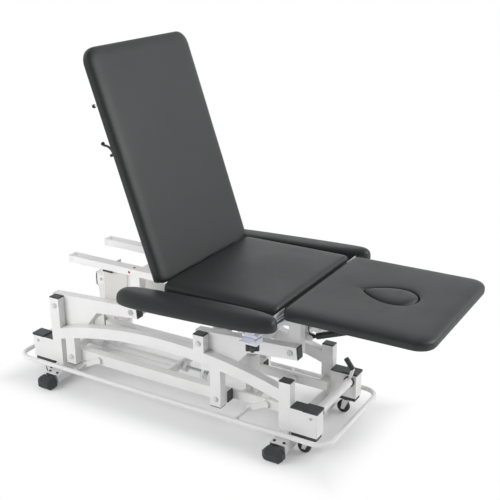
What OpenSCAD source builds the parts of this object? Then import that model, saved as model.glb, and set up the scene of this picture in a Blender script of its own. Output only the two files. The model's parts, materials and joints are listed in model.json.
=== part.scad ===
// Hydraulic treatment table: two arched side frames, a parallelogram lift with four arms,
// an upper frame with a raised back section, a seat, a head section with a face plug,
// two armrests and a foot bar that works the pump.
// The frame below is centred on the base; place() moves it onto the middle of the whole table.

/* [Side frames] */
// Width of the frame tubes along the table
tube_w = 50; // [44:1:56]
// Thickness of the frame tubes across the table
tube_t = 38; // [32:1:40]
// Wall of the frame tubes
tube_wall = 3; // [2:0.5:4]
// From the middle plane to the outer face of a side frame
frame_half_w = 204; // [196:1:220]
// From the base's middle to the axis of an end post
post_x = 572; // [556:1:590]
// Distance between the lower pivots of the two arm pairs
arm_pitch = 754; // [730:1:770]
// Height of the tall posts' tops
post_top = 400; // [392:1:410]
// Height of the short posts' tops
short_post_top = 295; // [280:1:310]
// Height of the posts' feet
post_bottom = 92; // [88:1:96]
// Step along the table from a tall post to the leg below it
leg_offset = 76; // [70:1:90]
// Height of the legs' feet
leg_bottom = 104; // [98:1:108]
// Height of the arch's crown
arch_peak = 340; // [330:1:346]
// Radius of the arch's upper edge
arch_radius = 1990; // [1900:10:2200]
// Height of the leg covers' middles
leg_cover_z = 137; // [130:1:145]

/* [Base] */
// Underside of the tie beams
tie_bottom = 112; // [110:1:118]
// Height of a sill bar
sill_h = 40; // [34:1:44]
// Thickness of a sill bar
sill_t = 12; // [8:1:14]
// Width of the foot tubes along the table
foot_tube_w = 70; // [60:1:74]
// Underside of the foot tubes
foot_tube_bottom = 18; // [14:1:20]
// Top of the foot tubes
foot_tube_top = 58; // [54:1:60]
// From the middle plane to the inner face of a foot block
foot_block_y = 258; // [256:1:264]
// Size of a foot block along the table
foot_block_w = 88; // [80:1:96]
// Size of a foot block across the table
foot_block_d = 58; // [50:1:66]
// Height of a foot block
foot_block_h = 56; // [54:1:60]
// Length of a corner box
box_l = 115; // [108:1:122]
// Depth of a corner box across the table
box_d = 55; // [50:1:60]
// Top of the corner boxes
box_top = 195; // [188:1:200]

/* [Lift arms] */
// Height of the lower pivots
pivot_z = 365; // [360:1:372]
// Distance between the two pivots of an arm
arm_l = 393; // [380:1:400]
// Rise of the arms above the horizontal as stored
arm_rest_angle = 5.7; // [3:0.1:8]
// Arm height above the pivot line at its root
arm_root_up = 42; // [38:1:44]
// Arm height above the pivot line at its tip
arm_tip_up = 25; // [22:1:28]
// Arm depth below the pivot line
arm_down = 26; // [24:1:28]
// Depth of the gusset below the pivot line
gusset_down = 135; // [120:1:136]
// Reach of the gusset along the arm
gusset_l = 203; // [190:1:215]
// Arm length past each pivot
arm_end = 30; // [28:1:34]
// Diameter of the pivot pins
pin_d = 16; // [12:1:18]
// Radial play of a pin that turns
pin_play = 0.05; // [0.02:0.01:0.1]
// Side play between parts that turn past each other
side_play = 1; // [0.6:0.1:2]
// Outer diameter of the torsion tubes
torsion_d = 42; // [36:1:48]
// Diameter of the pivot covers
cover_d = 24; // [20:1:28]
// Thickness of the pivot covers
cover_t = 3; // [2:0.5:4]

/* [Jack and pump] */
// Height of the jack's axis
jack_z = 118; // [114:1:122]
// Diameter of the jack's barrel
jack_d = 32; // [28:1:34]
// Diameter of the jack's rod
jack_rod_d = 14; // [12:1:14]
// Lean of the crank away from the jack as stored
crank_angle = 21; // [18:1:23]
// Length of the crank
crank_l = 302; // [298:1:308]
// Diameter of the pump's reservoir
reservoir_d = 58; // [50:1:60]
// Height of the pump's reservoir top
reservoir_top = 300; // [290:1:306]

/* [Foot bar] */
// Height of the foot bar's axis
bar_z = 96; // [94:1:100]
// Diameter of the foot bar
bar_d = 20; // [18:1:22]
// Gap from a corner box to the foot bar's end axis
bar_gap = 62; // [54:1:78]
// From the middle plane to the foot bar's side axis
bar_half_w = 247; // [242:1:252]
// Radius of the foot bar's corners
bar_corner_r = 62; // [50:1:70]
// Height of the rocker shafts
rocker_z = 134; // [130:1:138]
// Diameter of the rocker shafts
rocker_d = 26; // [22:1:28]
// Length of a rocker lever along the table
rocker_reach = 76; // [70:1:80]

/* [Casters] */
// From the base's middle to a caster's swivel axis
caster_x = 662; // [658:1:666]
// Diameter of a caster wheel
wheel_d = 54; // [50:1:56]
// Width of a caster wheel
wheel_w = 20; // [16:1:22]
// Trail of a caster wheel
caster_trail = 14; // [10:1:16]
// Height of the wheels above the floor as stored
wheel_clear = 3; // [2:0.5:5]
// From the base's middle to a wheel lift shaft
lift_shaft_x = 686; // [682:1:690]
// Height of the wheel lift shafts
lift_shaft_z = 172; // [168:1:175]
// Diameter of the wheel lift tubes
lift_tube_d = 36; // [30:1:38]

/* [Upper frame] */
// Top of the rails
rail_top = 591; // [588:1:593]
// Height of a rail
rail_h = 30; // [26:1:34]
// Width of a rail across the table
rail_w = 45; // [40:1:50]
// From the middle plane to a rail's outer face
rail_half_w = 143; // [140:1:146]
// From the base's middle to the rails' left ends
rail_left = 520; // [500:1:540]
// From the base's middle to the rails' right ends
rail_right = 598; // [590:1:600]

/* [Cushions] */
// Width of the back, seat and head cushions
cushion_w = 642; // [620:1:660]
// Thickness of the boards under the cushions
board_t = 10; // [6:1:12]
// Top of the seat cushion
seat_top = 656; // [652:1:658]
// Left end of the seat cushion
seat_left = 109; // [108:1:114]
// Right end of the seat cushion
seat_right = 596; // [590:1:597]
// Top of the head cushion
head_top = 658; // [655:1:662]
// Left end of the head cushion
head_left = 621; // [620:1:625]
// Right end of the head cushion
head_right = 1172; // [1140:1:1210]
// Thickness of the head cushion
head_cushion_t = 46; // [42:1:48]
// Thickness of the back cushion
back_cushion_t = 48; // [44:1:50]
// Length of the back cushion
back_l = 928; // [880:1:960]
// Rise of the crown in a cushion's middle
crown = 5; // [2:1:8]
// Radius of the cushions' corners
cushion_corner_r = 45; // [30:1:60]

/* [Back section] */
// Back pivot, along the table
back_pivot_x = 78; // [76:0.5:80]
// Back pivot, height
back_pivot_z = 612; // [610:0.5:614]
// Lean of the back above the horizontal as stored
back_angle = 71.1; // [66:0.1:74]
// Gap along the back from its pivot to its cushion
back_start = 12; // [11:0.5:16]

/* [Head section] */
// Head pivot, along the table
head_pivot_x = 606; // [605:0.5:607]
// Head pivot, height
head_pivot_z = 614; // [612:0.5:616]
// Diameter of the hinge tube in the gap before the head section
hinge_tube_d = 14; // [12:0.5:15]
// Length of the face opening
face_l = 216; // [180:1:230]
// Width of the face opening
face_w = 150; // [120:1:160]
// Tip of the face opening
face_x = 792; // [780:1:810]
// Gap around the face plug
face_gap = 2; // [1:0.5:3]

/* [Armrests] */
// Left end of the armrest pads
arm_pad_left = -42; // [-60:1:-35]
// Right end of the armrest pads
arm_pad_right = 645; // [635:1:650]
// From the middle plane to a pad's inner edge
arm_pad_in = 341; // [340:1:345]
// Width of an armrest pad
arm_pad_w = 120; // [110:1:126]
// Underside of the armrest pads
arm_pad_bottom = 601; // [597:1:605]
// Thickness of the armrest pads
arm_pad_t = 50; // [45:1:58]
// Fall of an armrest toward its free left end
arm_tilt = 2; // [0:0.5:3]
// From the base's middle to the armrest clamps
arm_clamp_x = 540; // [530:1:545]
// From the middle plane to the armrest clamps
arm_clamp_y = 385; // [380:1:390]

/* [Hidden] */
$fn = 48;
arch_fn = 360;
cut = 1;
seat_gap = 0.3;

white = [0.93, 0.93, 0.95];
grey = [0.62, 0.62, 0.65];
lilac = [0.72, 0.74, 0.86];
black = [0.06, 0.06, 0.07];
vinyl = [0.17, 0.18, 0.19];
steel = [0.75, 0.76, 0.78];

// Places along the table
centre_x = arm_pitch - post_x;
upper_x = -post_x + arm_l * cos(arm_rest_angle);
upper_z = pivot_z + arm_l * sin(arm_rest_angle);
upper_right_x = centre_x + arm_l * cos(arm_rest_angle);
legs_x = [-post_x + leg_offset, centre_x + leg_offset];
box_x0 = post_x + tube_w / 2;
box_x1 = box_x0 + box_l;
bar_half_l = box_x1 + bar_gap;
bar_left = -bar_half_l - bar_d / 2;
mid_x = (head_right + bar_left) / 2;

// Planes across the table, measured from the middle
frame_in = frame_half_w - tube_t;
arm_out = frame_in - side_play;
arm_in = arm_out - tube_t;
leg_out = arm_in - side_play;
leg_in = leg_out - tube_t;
rail_in = rail_half_w - rail_w;
rail_bottom = rail_top - rail_h;

function arch_z(x) = arch_peak - arch_radius + sqrt(arch_radius * arch_radius - x * x);

// Shared shapes
module place() translate([-mid_x, 0, 0]) children();

module both_sides() {
    children();
    mirror([0, 1, 0]) children();
}

module both_ends() {
    children();
    mirror([1, 0, 0]) children();
}

module rod_y(x, z, d, y0, y1) translate([x, y0, z]) rotate([-90, 0, 0]) cylinder(d = d, h = y1 - y0);

module plate_y(y0, thickness) translate([0, y0 + thickness, 0]) rotate([90, 0, 0])
    linear_extrude(thickness) children();

module box(x0, x1, y0, y1, z0, z1) translate([x0, y0, z0]) cube([x1 - x0, y1 - y0, z1 - z0]);

module box_tube_x(x0, x1, y0, y1, z0, z1, wall) difference() {
    box(x0, x1, y0, y1, z0, z1);
    box(x0 - cut, x1 + cut, y0 + wall, y1 - wall, z0 + wall, z1 - wall);
}

module box_tube_y(x0, x1, y0, y1, z0, z1, wall) difference() {
    box(x0, x1, y0, y1, z0, z1);
    box(x0 + wall, x1 - wall, y0 - cut, y1 + cut, z0 + wall, z1 - wall);
}

// Side frame: posts, arch and legs of one rectangular tube, welded flush
module frame_member(x, z0, z1, inset) box(x - tube_w / 2 + inset, x + tube_w / 2 - inset,
    -frame_half_w + inset, -frame_in - inset, z0, z1);

module arch_band(inset) intersection() {
    translate([0, -frame_half_w + inset, arch_peak - arch_radius]) rotate([-90, 0, 0]) difference() {
        cylinder(r = arch_radius - inset, h = tube_t - 2 * inset, $fn = arch_fn);
        translate([0, 0, -cut])
            cylinder(r = arch_radius - tube_w + inset, h = tube_t + 2 * cut, $fn = arch_fn);
    }
    box(-post_x, post_x, -frame_half_w, -frame_in, post_bottom, arch_peak + cut);
}

module side_frame() difference() {
    union() {
        frame_member(-post_x, post_bottom, post_top, 0);
        frame_member(centre_x, arch_z(centre_x) - tube_w / 2, post_top, 0);
        frame_member(post_x, post_bottom, short_post_top, 0);
        for (x = legs_x) frame_member(x, leg_bottom, arch_z(x) - tube_w / 2, 0);
        arch_band(0);
    }
    frame_member(-post_x, post_bottom + tube_wall, post_top + cut, tube_wall);
    frame_member(centre_x, arch_z(centre_x) - tube_w / 2, post_top + cut, tube_wall);
    frame_member(post_x, post_bottom + tube_wall, short_post_top + cut, tube_wall);
    for (x = legs_x) frame_member(x, leg_bottom - cut, arch_z(x) - tube_w / 2, tube_wall);
    arch_band(tube_wall);
    for (x = [-post_x, centre_x]) rod_y(x, pivot_z, pin_d, -frame_half_w - cut, -frame_in + cut);
}

module side_frame_near() color(white) side_frame();
module side_frame_far() color(white) mirror([0, 1, 0]) side_frame();

// Plugs: a chamfered cap and a spigot that fills the tube's mouth
plug_cap = 5;
plug_chamfer = 2;
plug_spigot = 14;
arm_plug_play = 1;
plug_play = 0.2;

module plug(w, t, play) {
    hull() {
        translate([-w / 2, -t / 2, 0]) cube([w, t, plug_cap - plug_chamfer]);
        translate([-w / 2 + plug_chamfer, -t / 2 + plug_chamfer, 0])
            cube([w - 2 * plug_chamfer, t - 2 * plug_chamfer, plug_cap]);
    }
    translate([-w / 2 + tube_wall + play, -t / 2 + tube_wall + play, -plug_spigot])
        cube([w - 2 * (tube_wall + play), t - 2 * (tube_wall + play), plug_spigot]);
}

frame_mid_y = frame_half_w - tube_t / 2;

module frame_plugs() color(black) both_sides() {
    translate([-post_x, -frame_mid_y, post_top]) plug(tube_w, tube_t, plug_play);
    translate([centre_x, -frame_mid_y, post_top]) plug(tube_w, tube_t, plug_play);
    translate([post_x, -frame_mid_y, short_post_top]) plug(tube_w, tube_t, plug_play);
    for (x = legs_x)
        translate([x, -frame_mid_y, leg_bottom]) mirror([0, 0, 1]) plug(tube_w, tube_t, plug_play);
    translate([tie_right, 0, 0] + tie_mid) rotate([0, 90, 0]) plug(tube_w, tube_t, plug_play);
    translate([tie_left, 0, 0] + tie_mid) rotate([0, -90, 0]) plug(tube_w, tube_t, plug_play);
}

// Tie beams lie against the frames' inner faces and run past the centre legs
tie_top = tie_bottom + tube_w;
tie_left = -post_x;
tie_right = legs_x[1] + tube_w / 2 + plug_spigot / 2;
tie_mid = [0, -frame_in + tube_t / 2, (tie_bottom + tie_top) / 2];
rocker_pitch = 820;
rocker_right_x = 450;
rocker_left_x = rocker_right_x - rocker_pitch;

module tie_beams() color(white) {
    both_sides() difference() {
        box_tube_x(tie_left, tie_right, -frame_in, -frame_in + tube_t, tie_bottom, tie_top, tube_wall);
        rod_y(rocker_left_x, rocker_z, rocker_d + 2 * pin_play, -frame_in - cut, -frame_in + tube_t + cut);
    }
    for (x = jack_mounts_x) difference() {
        box(x, x + mount_t, -sill_out, sill_out, mount_bottom, mount_top);
        translate([x - cut, 0, jack_z]) rotate([0, 90, 0]) cylinder(d = jack_d, h = mount_t + 2 * cut);
    }
}

// Sill bars carry the right rocker shaft between the tie beams and the short posts
sill_out = frame_in - tube_t;
sill_in = sill_out - sill_t;
sill_z0 = rocker_z - sill_h / 2;
sill_z1 = rocker_z + sill_h / 2;
sill_lap = 70;
sill_left = tie_right - sill_lap;
sill_right = post_x + tube_w / 2;
sill_block = 36;

module sill_bars() color(white) both_sides() difference() {
    union() {
        box(sill_left, sill_right, -sill_out, -sill_in, sill_z0, sill_z1);
        box(sill_right - sill_block, sill_right, -frame_in, -sill_out, sill_z0, sill_z1);
    }
    rod_y(rocker_right_x, rocker_z, rocker_d + 2 * pin_play, -sill_out - cut, -sill_in + cut);
}

// Foot tubes cross under the end posts, with saddle blocks up to the posts
saddle_w = 36;
saddle_d = 30;
foot_screw_pitch = 42;
foot_screw_d = 9;
foot_screw_h = 3;
foot_screw_in = 15;

module foot_tubes() color(white) both_ends() {
    box_tube_y(post_x - foot_tube_w / 2, post_x + foot_tube_w / 2, -foot_block_y, foot_block_y,
        foot_tube_bottom, foot_tube_top, tube_wall);
    both_sides() box(post_x - saddle_w / 2, post_x + saddle_w / 2, -frame_mid_y - saddle_d / 2,
        -frame_mid_y + saddle_d / 2, foot_tube_top, post_bottom);
}

foot_chamfer = 13;
foot_spigot = 24;

module foot_profile() polygon([
    [-foot_block_w / 2 + foot_chamfer, 0], [foot_block_w / 2 - foot_chamfer, 0],
    [foot_block_w / 2, foot_chamfer], [foot_block_w / 2, foot_block_h - foot_chamfer],
    [foot_block_w / 2 - foot_chamfer, foot_block_h], [-foot_block_w / 2 + foot_chamfer, foot_block_h],
    [-foot_block_w / 2, foot_block_h - foot_chamfer], [-foot_block_w / 2, foot_chamfer]
]);

module foot_blocks() color(black) both_ends() both_sides() translate([post_x, 0, 0]) {
    plate_y(-foot_block_y - foot_block_d, foot_block_d) foot_profile();
    box(-foot_tube_w / 2 + tube_wall + plug_play, foot_tube_w / 2 - tube_wall - plug_play,
        -foot_block_y, -foot_block_y + foot_spigot,
        foot_tube_bottom + tube_wall + plug_play, foot_tube_top - tube_wall - plug_play);
}

module foot_screws() color(black) both_ends() both_sides() for (s = [-1, 1])
    translate([post_x + s * foot_screw_pitch / 2, -foot_block_y + foot_screw_in, foot_tube_top])
        cylinder(d = foot_screw_d, h = foot_screw_h, $fn = 24);

// Corner boxes house the wheel lift; each is open below and covered above
box_wall = 3;
box_in = frame_half_w - box_d;
stub_d = 14;

module corner_boxes() color(white) both_ends() both_sides() difference() {
    box(box_x0, box_x1, -frame_half_w, -box_in, post_bottom, box_top);
    box(box_x0 + box_wall, box_x1 - box_wall, -frame_half_w + box_wall, -box_in - box_wall,
        post_bottom - cut, box_top + cut);
    rod_y(lift_shaft_x, lift_shaft_z, stub_d + 2 * pin_play, -frame_half_w - cut, -box_in + cut);
}

box_cover_t = 4;
box_cover_step = 5;
box_cover_over = 3;
box_cover_raised = 62;
box_cover_lip = 6;

module box_cover() {
    box(box_x0, box_x1, -frame_half_w, -box_in, box_top, box_top + box_cover_t);
    box(box_x1 - box_cover_raised, box_x1 + box_cover_over, -frame_half_w - box_cover_over,
        -box_in, box_top, box_top + box_cover_t + box_cover_step);
    box(box_x0 + box_wall + plug_play, box_x1 - box_wall - plug_play,
        -frame_half_w + box_wall + plug_play, -box_in - box_wall - plug_play,
        box_top - box_cover_lip, box_top);
}

module box_covers() color(black) both_ends() both_sides() box_cover();

box_mid_y = frame_half_w - box_d / 2;

// Lower pivot pins sit tight in the posts and end inside the arms
module base_pins() color(steel) both_sides() for (x = [-post_x, centre_x])
    rod_y(x, pivot_z, pin_d, -frame_half_w, -arm_in - side_play);

module pivot_covers() color(grey) both_sides() {
    for (x = [-post_x, centre_x])
        rod_y(x, pivot_z, cover_d, -frame_half_w - cover_t, -frame_half_w);
    for (x = legs_x) rod_y(x, leg_cover_z, cover_d, -frame_half_w - cover_t, -frame_half_w);
}

// Jack: a barrel bolted between the tie beams, its rod working a slotted crank
jack_left_in = 12;
jack_left = -post_x + jack_left_in;
jack_gland_x = -15;
jack_gland_l = 22;
jack_gland_over = 5;
jack_bore_play = 0.05;
jack_tail = 20;
mount_t = 12;
mount_top = 146;
mount_bottom = tie_bottom;
crank_drop = pivot_z - jack_z;
jack_pin_x = centre_x - crank_drop * tan(crank_angle);

module jack_barrel() color(white) difference() {
    union() {
        translate([jack_left, 0, jack_z]) rotate([0, 90, 0])
            cylinder(d = jack_d, h = jack_gland_x - jack_left);
        translate([jack_gland_x - jack_gland_l, 0, jack_z]) rotate([0, 90, 0])
            cylinder(d = jack_d + 2 * jack_gland_over, h = jack_gland_l);
    }
    translate([jack_left + jack_tail, 0, jack_z]) rotate([0, 90, 0])
        cylinder(d = jack_rod_d + 2 * jack_bore_play, h = jack_gland_x - jack_left);
}

jack_mounts_x = [jack_left, jack_gland_x - jack_gland_l - mount_t];

// Pump unit: reservoir on a narrower body, on a plate between the sill bars
pump_x = 341;
pump_y = -50;
pump_body = 40;
pump_plate_t = 6;
pump_plate_l = 84;
reservoir_h = 66;
pump_port_d = 14;
pump_port_l = 20;

module pump_unit() color(white) {
    box(pump_x - pump_plate_l / 2, pump_x + pump_plate_l / 2, -sill_in,
        pump_y + pump_body / 2 + pump_plate_t, sill_z0, sill_z0 + pump_plate_t);
    box(pump_x - pump_body / 2, pump_x + pump_body / 2, pump_y - pump_body / 2, pump_y + pump_body / 2,
        sill_z0 + pump_plate_t, reservoir_top - reservoir_h);
    translate([pump_x, pump_y, reservoir_top - reservoir_h]) cylinder(d = reservoir_d, h = reservoir_h);
    rod_y(pump_x, sill_z1, pump_port_d, pump_y - pump_body / 2 - pump_port_l, pump_y);
}

// Lift arms, in a frame whose X runs along the pivot line
bush_d = 28;
torsion_wall = 4;
arm_back = -arm_end;
arm_front = arm_l + arm_end;
gusset_flat = gusset_l - gusset_down + arm_down;

function arm_top(x) = arm_root_up + (arm_tip_up - arm_root_up) * (x - arm_back) / (arm_front - arm_back);

module arm_profile() polygon([
    [arm_back, arm_top(arm_back)], [arm_front, arm_top(arm_front)], [arm_front, -arm_down],
    [gusset_l, -arm_down], [gusset_flat, -gusset_down], [arm_back, -gusset_down]
]);

module arm_cavity() {
    polygon([
        [arm_back - cut, arm_top(arm_back) - tube_wall],
        [arm_front + cut, arm_top(arm_front) - tube_wall],
        [arm_front + cut, -arm_down + tube_wall], [arm_back - cut, -arm_down + tube_wall]
    ]);
    polygon([
        [arm_back + tube_wall, 0], [gusset_l - tube_wall, 0], [gusset_l - tube_wall, -arm_down],
        [gusset_flat - tube_wall, -gusset_down + tube_wall],
        [arm_back + tube_wall, -gusset_down + tube_wall]
    ]);
}

module lift_arm() difference() {
    union() {
        difference() {
            plate_y(-arm_out, tube_t) arm_profile();
            plate_y(-arm_out + tube_wall, tube_t - 2 * tube_wall) arm_cavity();
        }
        for (x = [0, arm_l]) rod_y(x, 0, bush_d, -arm_out, -arm_in);
    }
    rod_y(0, 0, pin_d + 2 * pin_play, -arm_out - cut, -arm_in + cut);
    rod_y(arm_l, 0, pin_d, -arm_out - cut, -arm_in + cut);
}

module torsion_tube(at) difference() {
    rod_y(at[0], at[1], torsion_d, -arm_in, arm_in);
    rod_y(at[0], at[1], torsion_d - 2 * torsion_wall, -arm_in - cut, arm_in + cut);
}

module arm_pair(torsion_at) {
    both_sides() lift_arm();
    torsion_tube(torsion_at);
}

// The right torsion tube turns about the pivots; the left one joins the gussets
right_torsion = [0, 0];
left_torsion = [145, -54];

module on_left_arms() translate([-post_x, 0, pivot_z]) rotate([0, -arm_rest_angle, 0]) children();
module on_right_arms() translate([centre_x, 0, pivot_z]) rotate([0, -arm_rest_angle, 0]) children();

module arm_plug(x, side) {
    height = arm_top(x) + arm_down;
    translate([x, -arm_out + tube_t / 2, (arm_top(x) - arm_down) / 2]) rotate([0, side * 90, 0])
        plug(height, tube_t, arm_plug_play);
}

module arm_plugs() both_sides() {
    arm_plug(arm_front, 1);
    arm_plug(arm_back, -1);
}

// Upper pins sit tight in the arms and turn in the down legs
module upper_pins() both_sides() {
    rod_y(arm_l, 0, pin_d, -arm_out, -leg_in - side_play);
    rod_y(arm_l, 0, cover_d, -arm_out - cover_t, -arm_out);
}

module left_arms() color(white) on_left_arms() arm_pair(left_torsion);
module left_arm_plugs() color(black) on_left_arms() arm_plugs();
module left_upper_pins() color(grey) on_left_arms() upper_pins();
module right_arm_plugs() color(black) on_right_arms() arm_plugs();
module right_upper_pins() color(grey) on_right_arms() upper_pins();

// Crank: two slotted cheeks hanging from the right torsion tube
crank_cheek = 6;
crank_gap = 18;
crank_root_w = 64;
crank_tip_w = 46;
jack_pin_d = 12;
slot_w = 22;
slot_lead = 6;
slot_start = crank_drop - slot_lead;
slot_end = crank_l - crank_tip_w / 2;

module crank_cheek() difference() {
    union() {
        polygon([[-crank_root_w / 2, 0], [crank_root_w / 2, 0],
            [crank_tip_w / 2, -slot_start], [crank_tip_w / 2, -slot_end],
            [-crank_tip_w / 2, -slot_end], [-crank_tip_w / 2, -slot_start]]);
        translate([0, -slot_end]) circle(d = crank_tip_w);
    }
    translate([-slot_w / 2, -slot_end]) square([slot_w, slot_end - slot_start]);
    for (r = [slot_start, slot_end]) translate([0, -r]) circle(d = slot_w);
}

module right_arms() color(white) {
    on_right_arms() arm_pair(right_torsion);
    translate([centre_x, 0, pivot_z]) rotate([0, crank_angle, 0]) both_sides() difference() {
        plate_y(-crank_gap / 2 - crank_cheek, crank_cheek) crank_cheek();
        rod_y(0, 0, torsion_d - 2 * torsion_wall, -crank_gap, 0);
    }
}

jack_rod_in = 60;
jack_rod_left = jack_left + jack_rod_in;
jack_eye = 26;
jack_eye_t = 15;
jack_pin_over = 2;

module jack_rod() color(steel) {
    translate([jack_rod_left, 0, jack_z]) rotate([0, 90, 0])
        cylinder(d = jack_rod_d, h = jack_pin_x - jack_eye / 2 - jack_rod_left);
    box(jack_pin_x - jack_eye / 2, jack_pin_x + jack_eye / 2, -jack_eye_t / 2, jack_eye_t / 2,
        jack_z - jack_eye / 2, jack_z + jack_eye / 2);
    pin_half = crank_gap / 2 + crank_cheek + jack_pin_over;
    rod_y(jack_pin_x, jack_z, jack_pin_d, -pin_half, pin_half);
}

// Upper frame: two rails on four down legs
rail_hole_d = 14;
rail_hole_in = 24;

module seat_rails() color(white) {
    back_anchor_bar();
    both_sides() rail();
}

module rail() {
    difference() {
        box_tube_x(-rail_left, rail_right, -rail_half_w, -rail_in, rail_bottom, rail_top, tube_wall);
        translate([-rail_left + rail_hole_in, -rail_half_w + rail_w / 2, rail_bottom - cut])
            cylinder(d = rail_hole_d, h = rail_h + 2 * cut);
    }
    difference() {
        plate_y(-rail_half_w, lug_t) {
            translate([back_pivot_x, back_pivot_z]) circle(r = back_lug_r);
            translate([back_pivot_x - back_lug_r, rail_top])
                square([2 * back_lug_r, back_pivot_z - rail_top]);
        }
        rod_y(back_pivot_x, back_pivot_z, lug_pin_d, -rail_half_w - cut, -rail_half_w + lug_t + cut);
    }
    rod_y(back_pivot_x, back_pivot_z, lug_pin_d, -back_lug_out, -rail_half_w + lug_t);
    difference() {
        plate_y(-rail_in, lug_t) head_hinge_plate();
        rod_y(head_pivot_x, head_pivot_z, hinge_tube_d, -rail_in - cut, -rail_in + lug_t + cut);
    }
}

module head_hinge_plate() {
    translate([head_pivot_x, head_pivot_z]) circle(r = head_lug_r);
    polygon([
        [rail_right - hinge_plate_l, rail_bottom], [rail_right, rail_bottom],
        [head_pivot_x + head_lug_r, head_pivot_z], [head_pivot_x - head_lug_r, head_pivot_z],
        [rail_right - head_lug_r / 2, rail_top], [rail_right - hinge_plate_l, rail_top]
    ]);
}

lug_t = 6;
lug_pin_d = 10;
back_lug_r = 10;
back_lug_out = rail_half_w + side_play + lug_t;
head_lug_r = 9;
hinge_plate_l = 45;

leg_w = tube_w;
leg_below = 22;
cross_h = 30;

module down_legs(x) {
    both_sides() difference() {
        box(x - leg_w / 2, x + leg_w / 2, -leg_out, -leg_in, upper_z - leg_below, rail_bottom);
        box(x - leg_w / 2 + tube_wall, x + leg_w / 2 - tube_wall, -leg_out + tube_wall,
            -leg_in - tube_wall, upper_z - leg_below - cut, rail_bottom - tube_wall);
        rod_y(x, upper_z, pin_d + 2 * pin_play, -leg_out - cut, -leg_in + cut);
    }
    box_tube_y(x - leg_w / 2, x + leg_w / 2, -leg_in, leg_in, rail_bottom - cross_h, rail_bottom, tube_wall);
}

// Spring and strut anchors: a square tube across the frame and two cheeks with a pin
anchor_w = 25;
cheek_t = 4;
cheek_gap = 18;
cheek_r = 11;
anchor_pin_d = 8;
back_anchor = [60, 540];
back_anchor_x = 78;
head_anchor = [614, 440];
head_anchor_z = 427;
strut_y = -65;
spring_y = 0;

module cheek_pair(y) for (s = [-1, 1])
    plate_y(y + s * (cheek_gap + cheek_t) / 2 - cheek_t / 2, cheek_t) children();

module bridge(a, b, r) {
    translate(a) circle(r = r);
    translate(b) circle(r = r);
    translate(a) rotate(atan2(b[1] - a[1], b[0] - a[0])) translate([0, -r]) square([norm(b - a), 2 * r]);
}

module anchor_cheeks(pin, root, y) {
    cheek_pair(y) bridge(pin, root, cheek_r);
    rod_y(pin[0], pin[1], anchor_pin_d, y - cheek_gap / 2 - cheek_t, y + cheek_gap / 2 + cheek_t);
}

module left_down_legs() color(white) down_legs(upper_x);

module back_anchor_bar() {
    box_tube_y(back_anchor_x, back_anchor_x + anchor_w, -rail_in, rail_in,
        rail_bottom, rail_bottom + anchor_w, tube_wall);
    anchor_cheeks(back_anchor, [back_anchor_x + anchor_w / 2, rail_bottom + anchor_w / 2], spring_y);
}

module right_down_legs() color(white) {
    down_legs(upper_right_x);
    box_tube_y(upper_right_x - anchor_w / 2, upper_right_x + anchor_w / 2, -leg_in, leg_in,
        head_anchor_z, head_anchor_z + anchor_w, tube_wall);
    anchor_cheeks(head_anchor, [upper_right_x, head_anchor[1]], strut_y);
}

// Cushions: rings of a rounded rectangle, drawn in at the foot and rolled over to a crown
ring_steps = 6;
foot_inset = 12;
side_levels_share = [0, 0.12, 0.3, 0.6, 0.8, 0.93, 1];
side_insets_share = [1, 0.45, 0.12, 0, 0.2, 0.65, 1.5];
crown_steps = 4;
min_corner = 2;

function corner_ring(hx, hy, r, inset, z) = let (
        rr = max(r - inset, min_corner),
        cx = hx - inset - rr,
        cy = hy - inset - rr
    ) [for (q = [0 : 3], i = [0 : ring_steps]) let (
        a = 90 * q + 90 * i / ring_steps,
        sx = (q == 0 || q == 3) ? 1 : -1,
        sy = (q < 2) ? 1 : -1
    ) [sx * cx + rr * cos(a), sy * cy + rr * sin(a), z]];

function cushion_rings(hx, hy, r, h, rise, edge) = concat(
    [for (i = [0 : len(side_levels_share) - 1])
        corner_ring(hx, hy, r, edge * side_insets_share[i], (h - rise) * side_levels_share[i])],
    [for (k = [1 : crown_steps]) let (
            last = side_insets_share[len(side_insets_share) - 1] * edge,
            s = k / crown_steps,
            inset = last + (min(hx, hy) - last - min_corner * 2) * s
        ) corner_ring(hx, hy, r, inset, h - rise + rise * (1 - (1 - s) * (1 - s)))]
);

module loft(rings) {
    n = len(rings[0]);
    m = len(rings);
    points = [for (ring = rings) for (p = ring) p];
    sides = [for (j = [0 : m - 2], i = [0 : n - 1]) let (a = j * n + i, b = j * n + (i + 1) % n)
        each [[a, b + n, b], [a, a + n, b + n]]];
    polyhedron(points, concat(sides, [[for (i = [0 : n - 1]) i]],
        [[for (i = [n - 1 : -1 : 0]) (m - 1) * n + i]]));
}

module cushion(x0, x1, half_w, h, rise, r, edge) translate([(x0 + x1) / 2, 0, 0])
    loft(cushion_rings((x1 - x0) / 2, half_w, r, h, rise, edge));

board_in = 30;
hinge_board_t = 8;
board_half_w = cushion_w / 2 - board_in;
board_end_in = 15;
board_corner_r = 40;
seat_board_in = 26;

module board(x0, x1, z0, z1) translate([0, 0, z0]) linear_extrude(z1 - z0) {
    translate([x0, -board_half_w + board_corner_r])
        square([x1 - x0, 2 * (board_half_w - board_corner_r)]);
    translate([x0 + board_corner_r, -board_half_w])
        square([x1 - x0 - 2 * board_corner_r, 2 * board_half_w]);
    for (x = [x0 + board_corner_r, x1 - board_corner_r], s = [-1, 1])
        translate([x, s * (board_half_w - board_corner_r)]) circle(r = board_corner_r);
}

module seat_board() color(black)
    board(seat_left + board_end_in, seat_right - seat_board_in, rail_top, rail_top + board_t);

module seat_cushion() color(vinyl) translate([0, 0, rail_top + board_t])
    cushion(seat_left, seat_right, cushion_w / 2, seat_top - rail_top - board_t, crown,
        cushion_corner_r, foot_inset);

hinge_tube_over = 17;
hinge_tube_half = cushion_w / 2 + hinge_tube_over;

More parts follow.
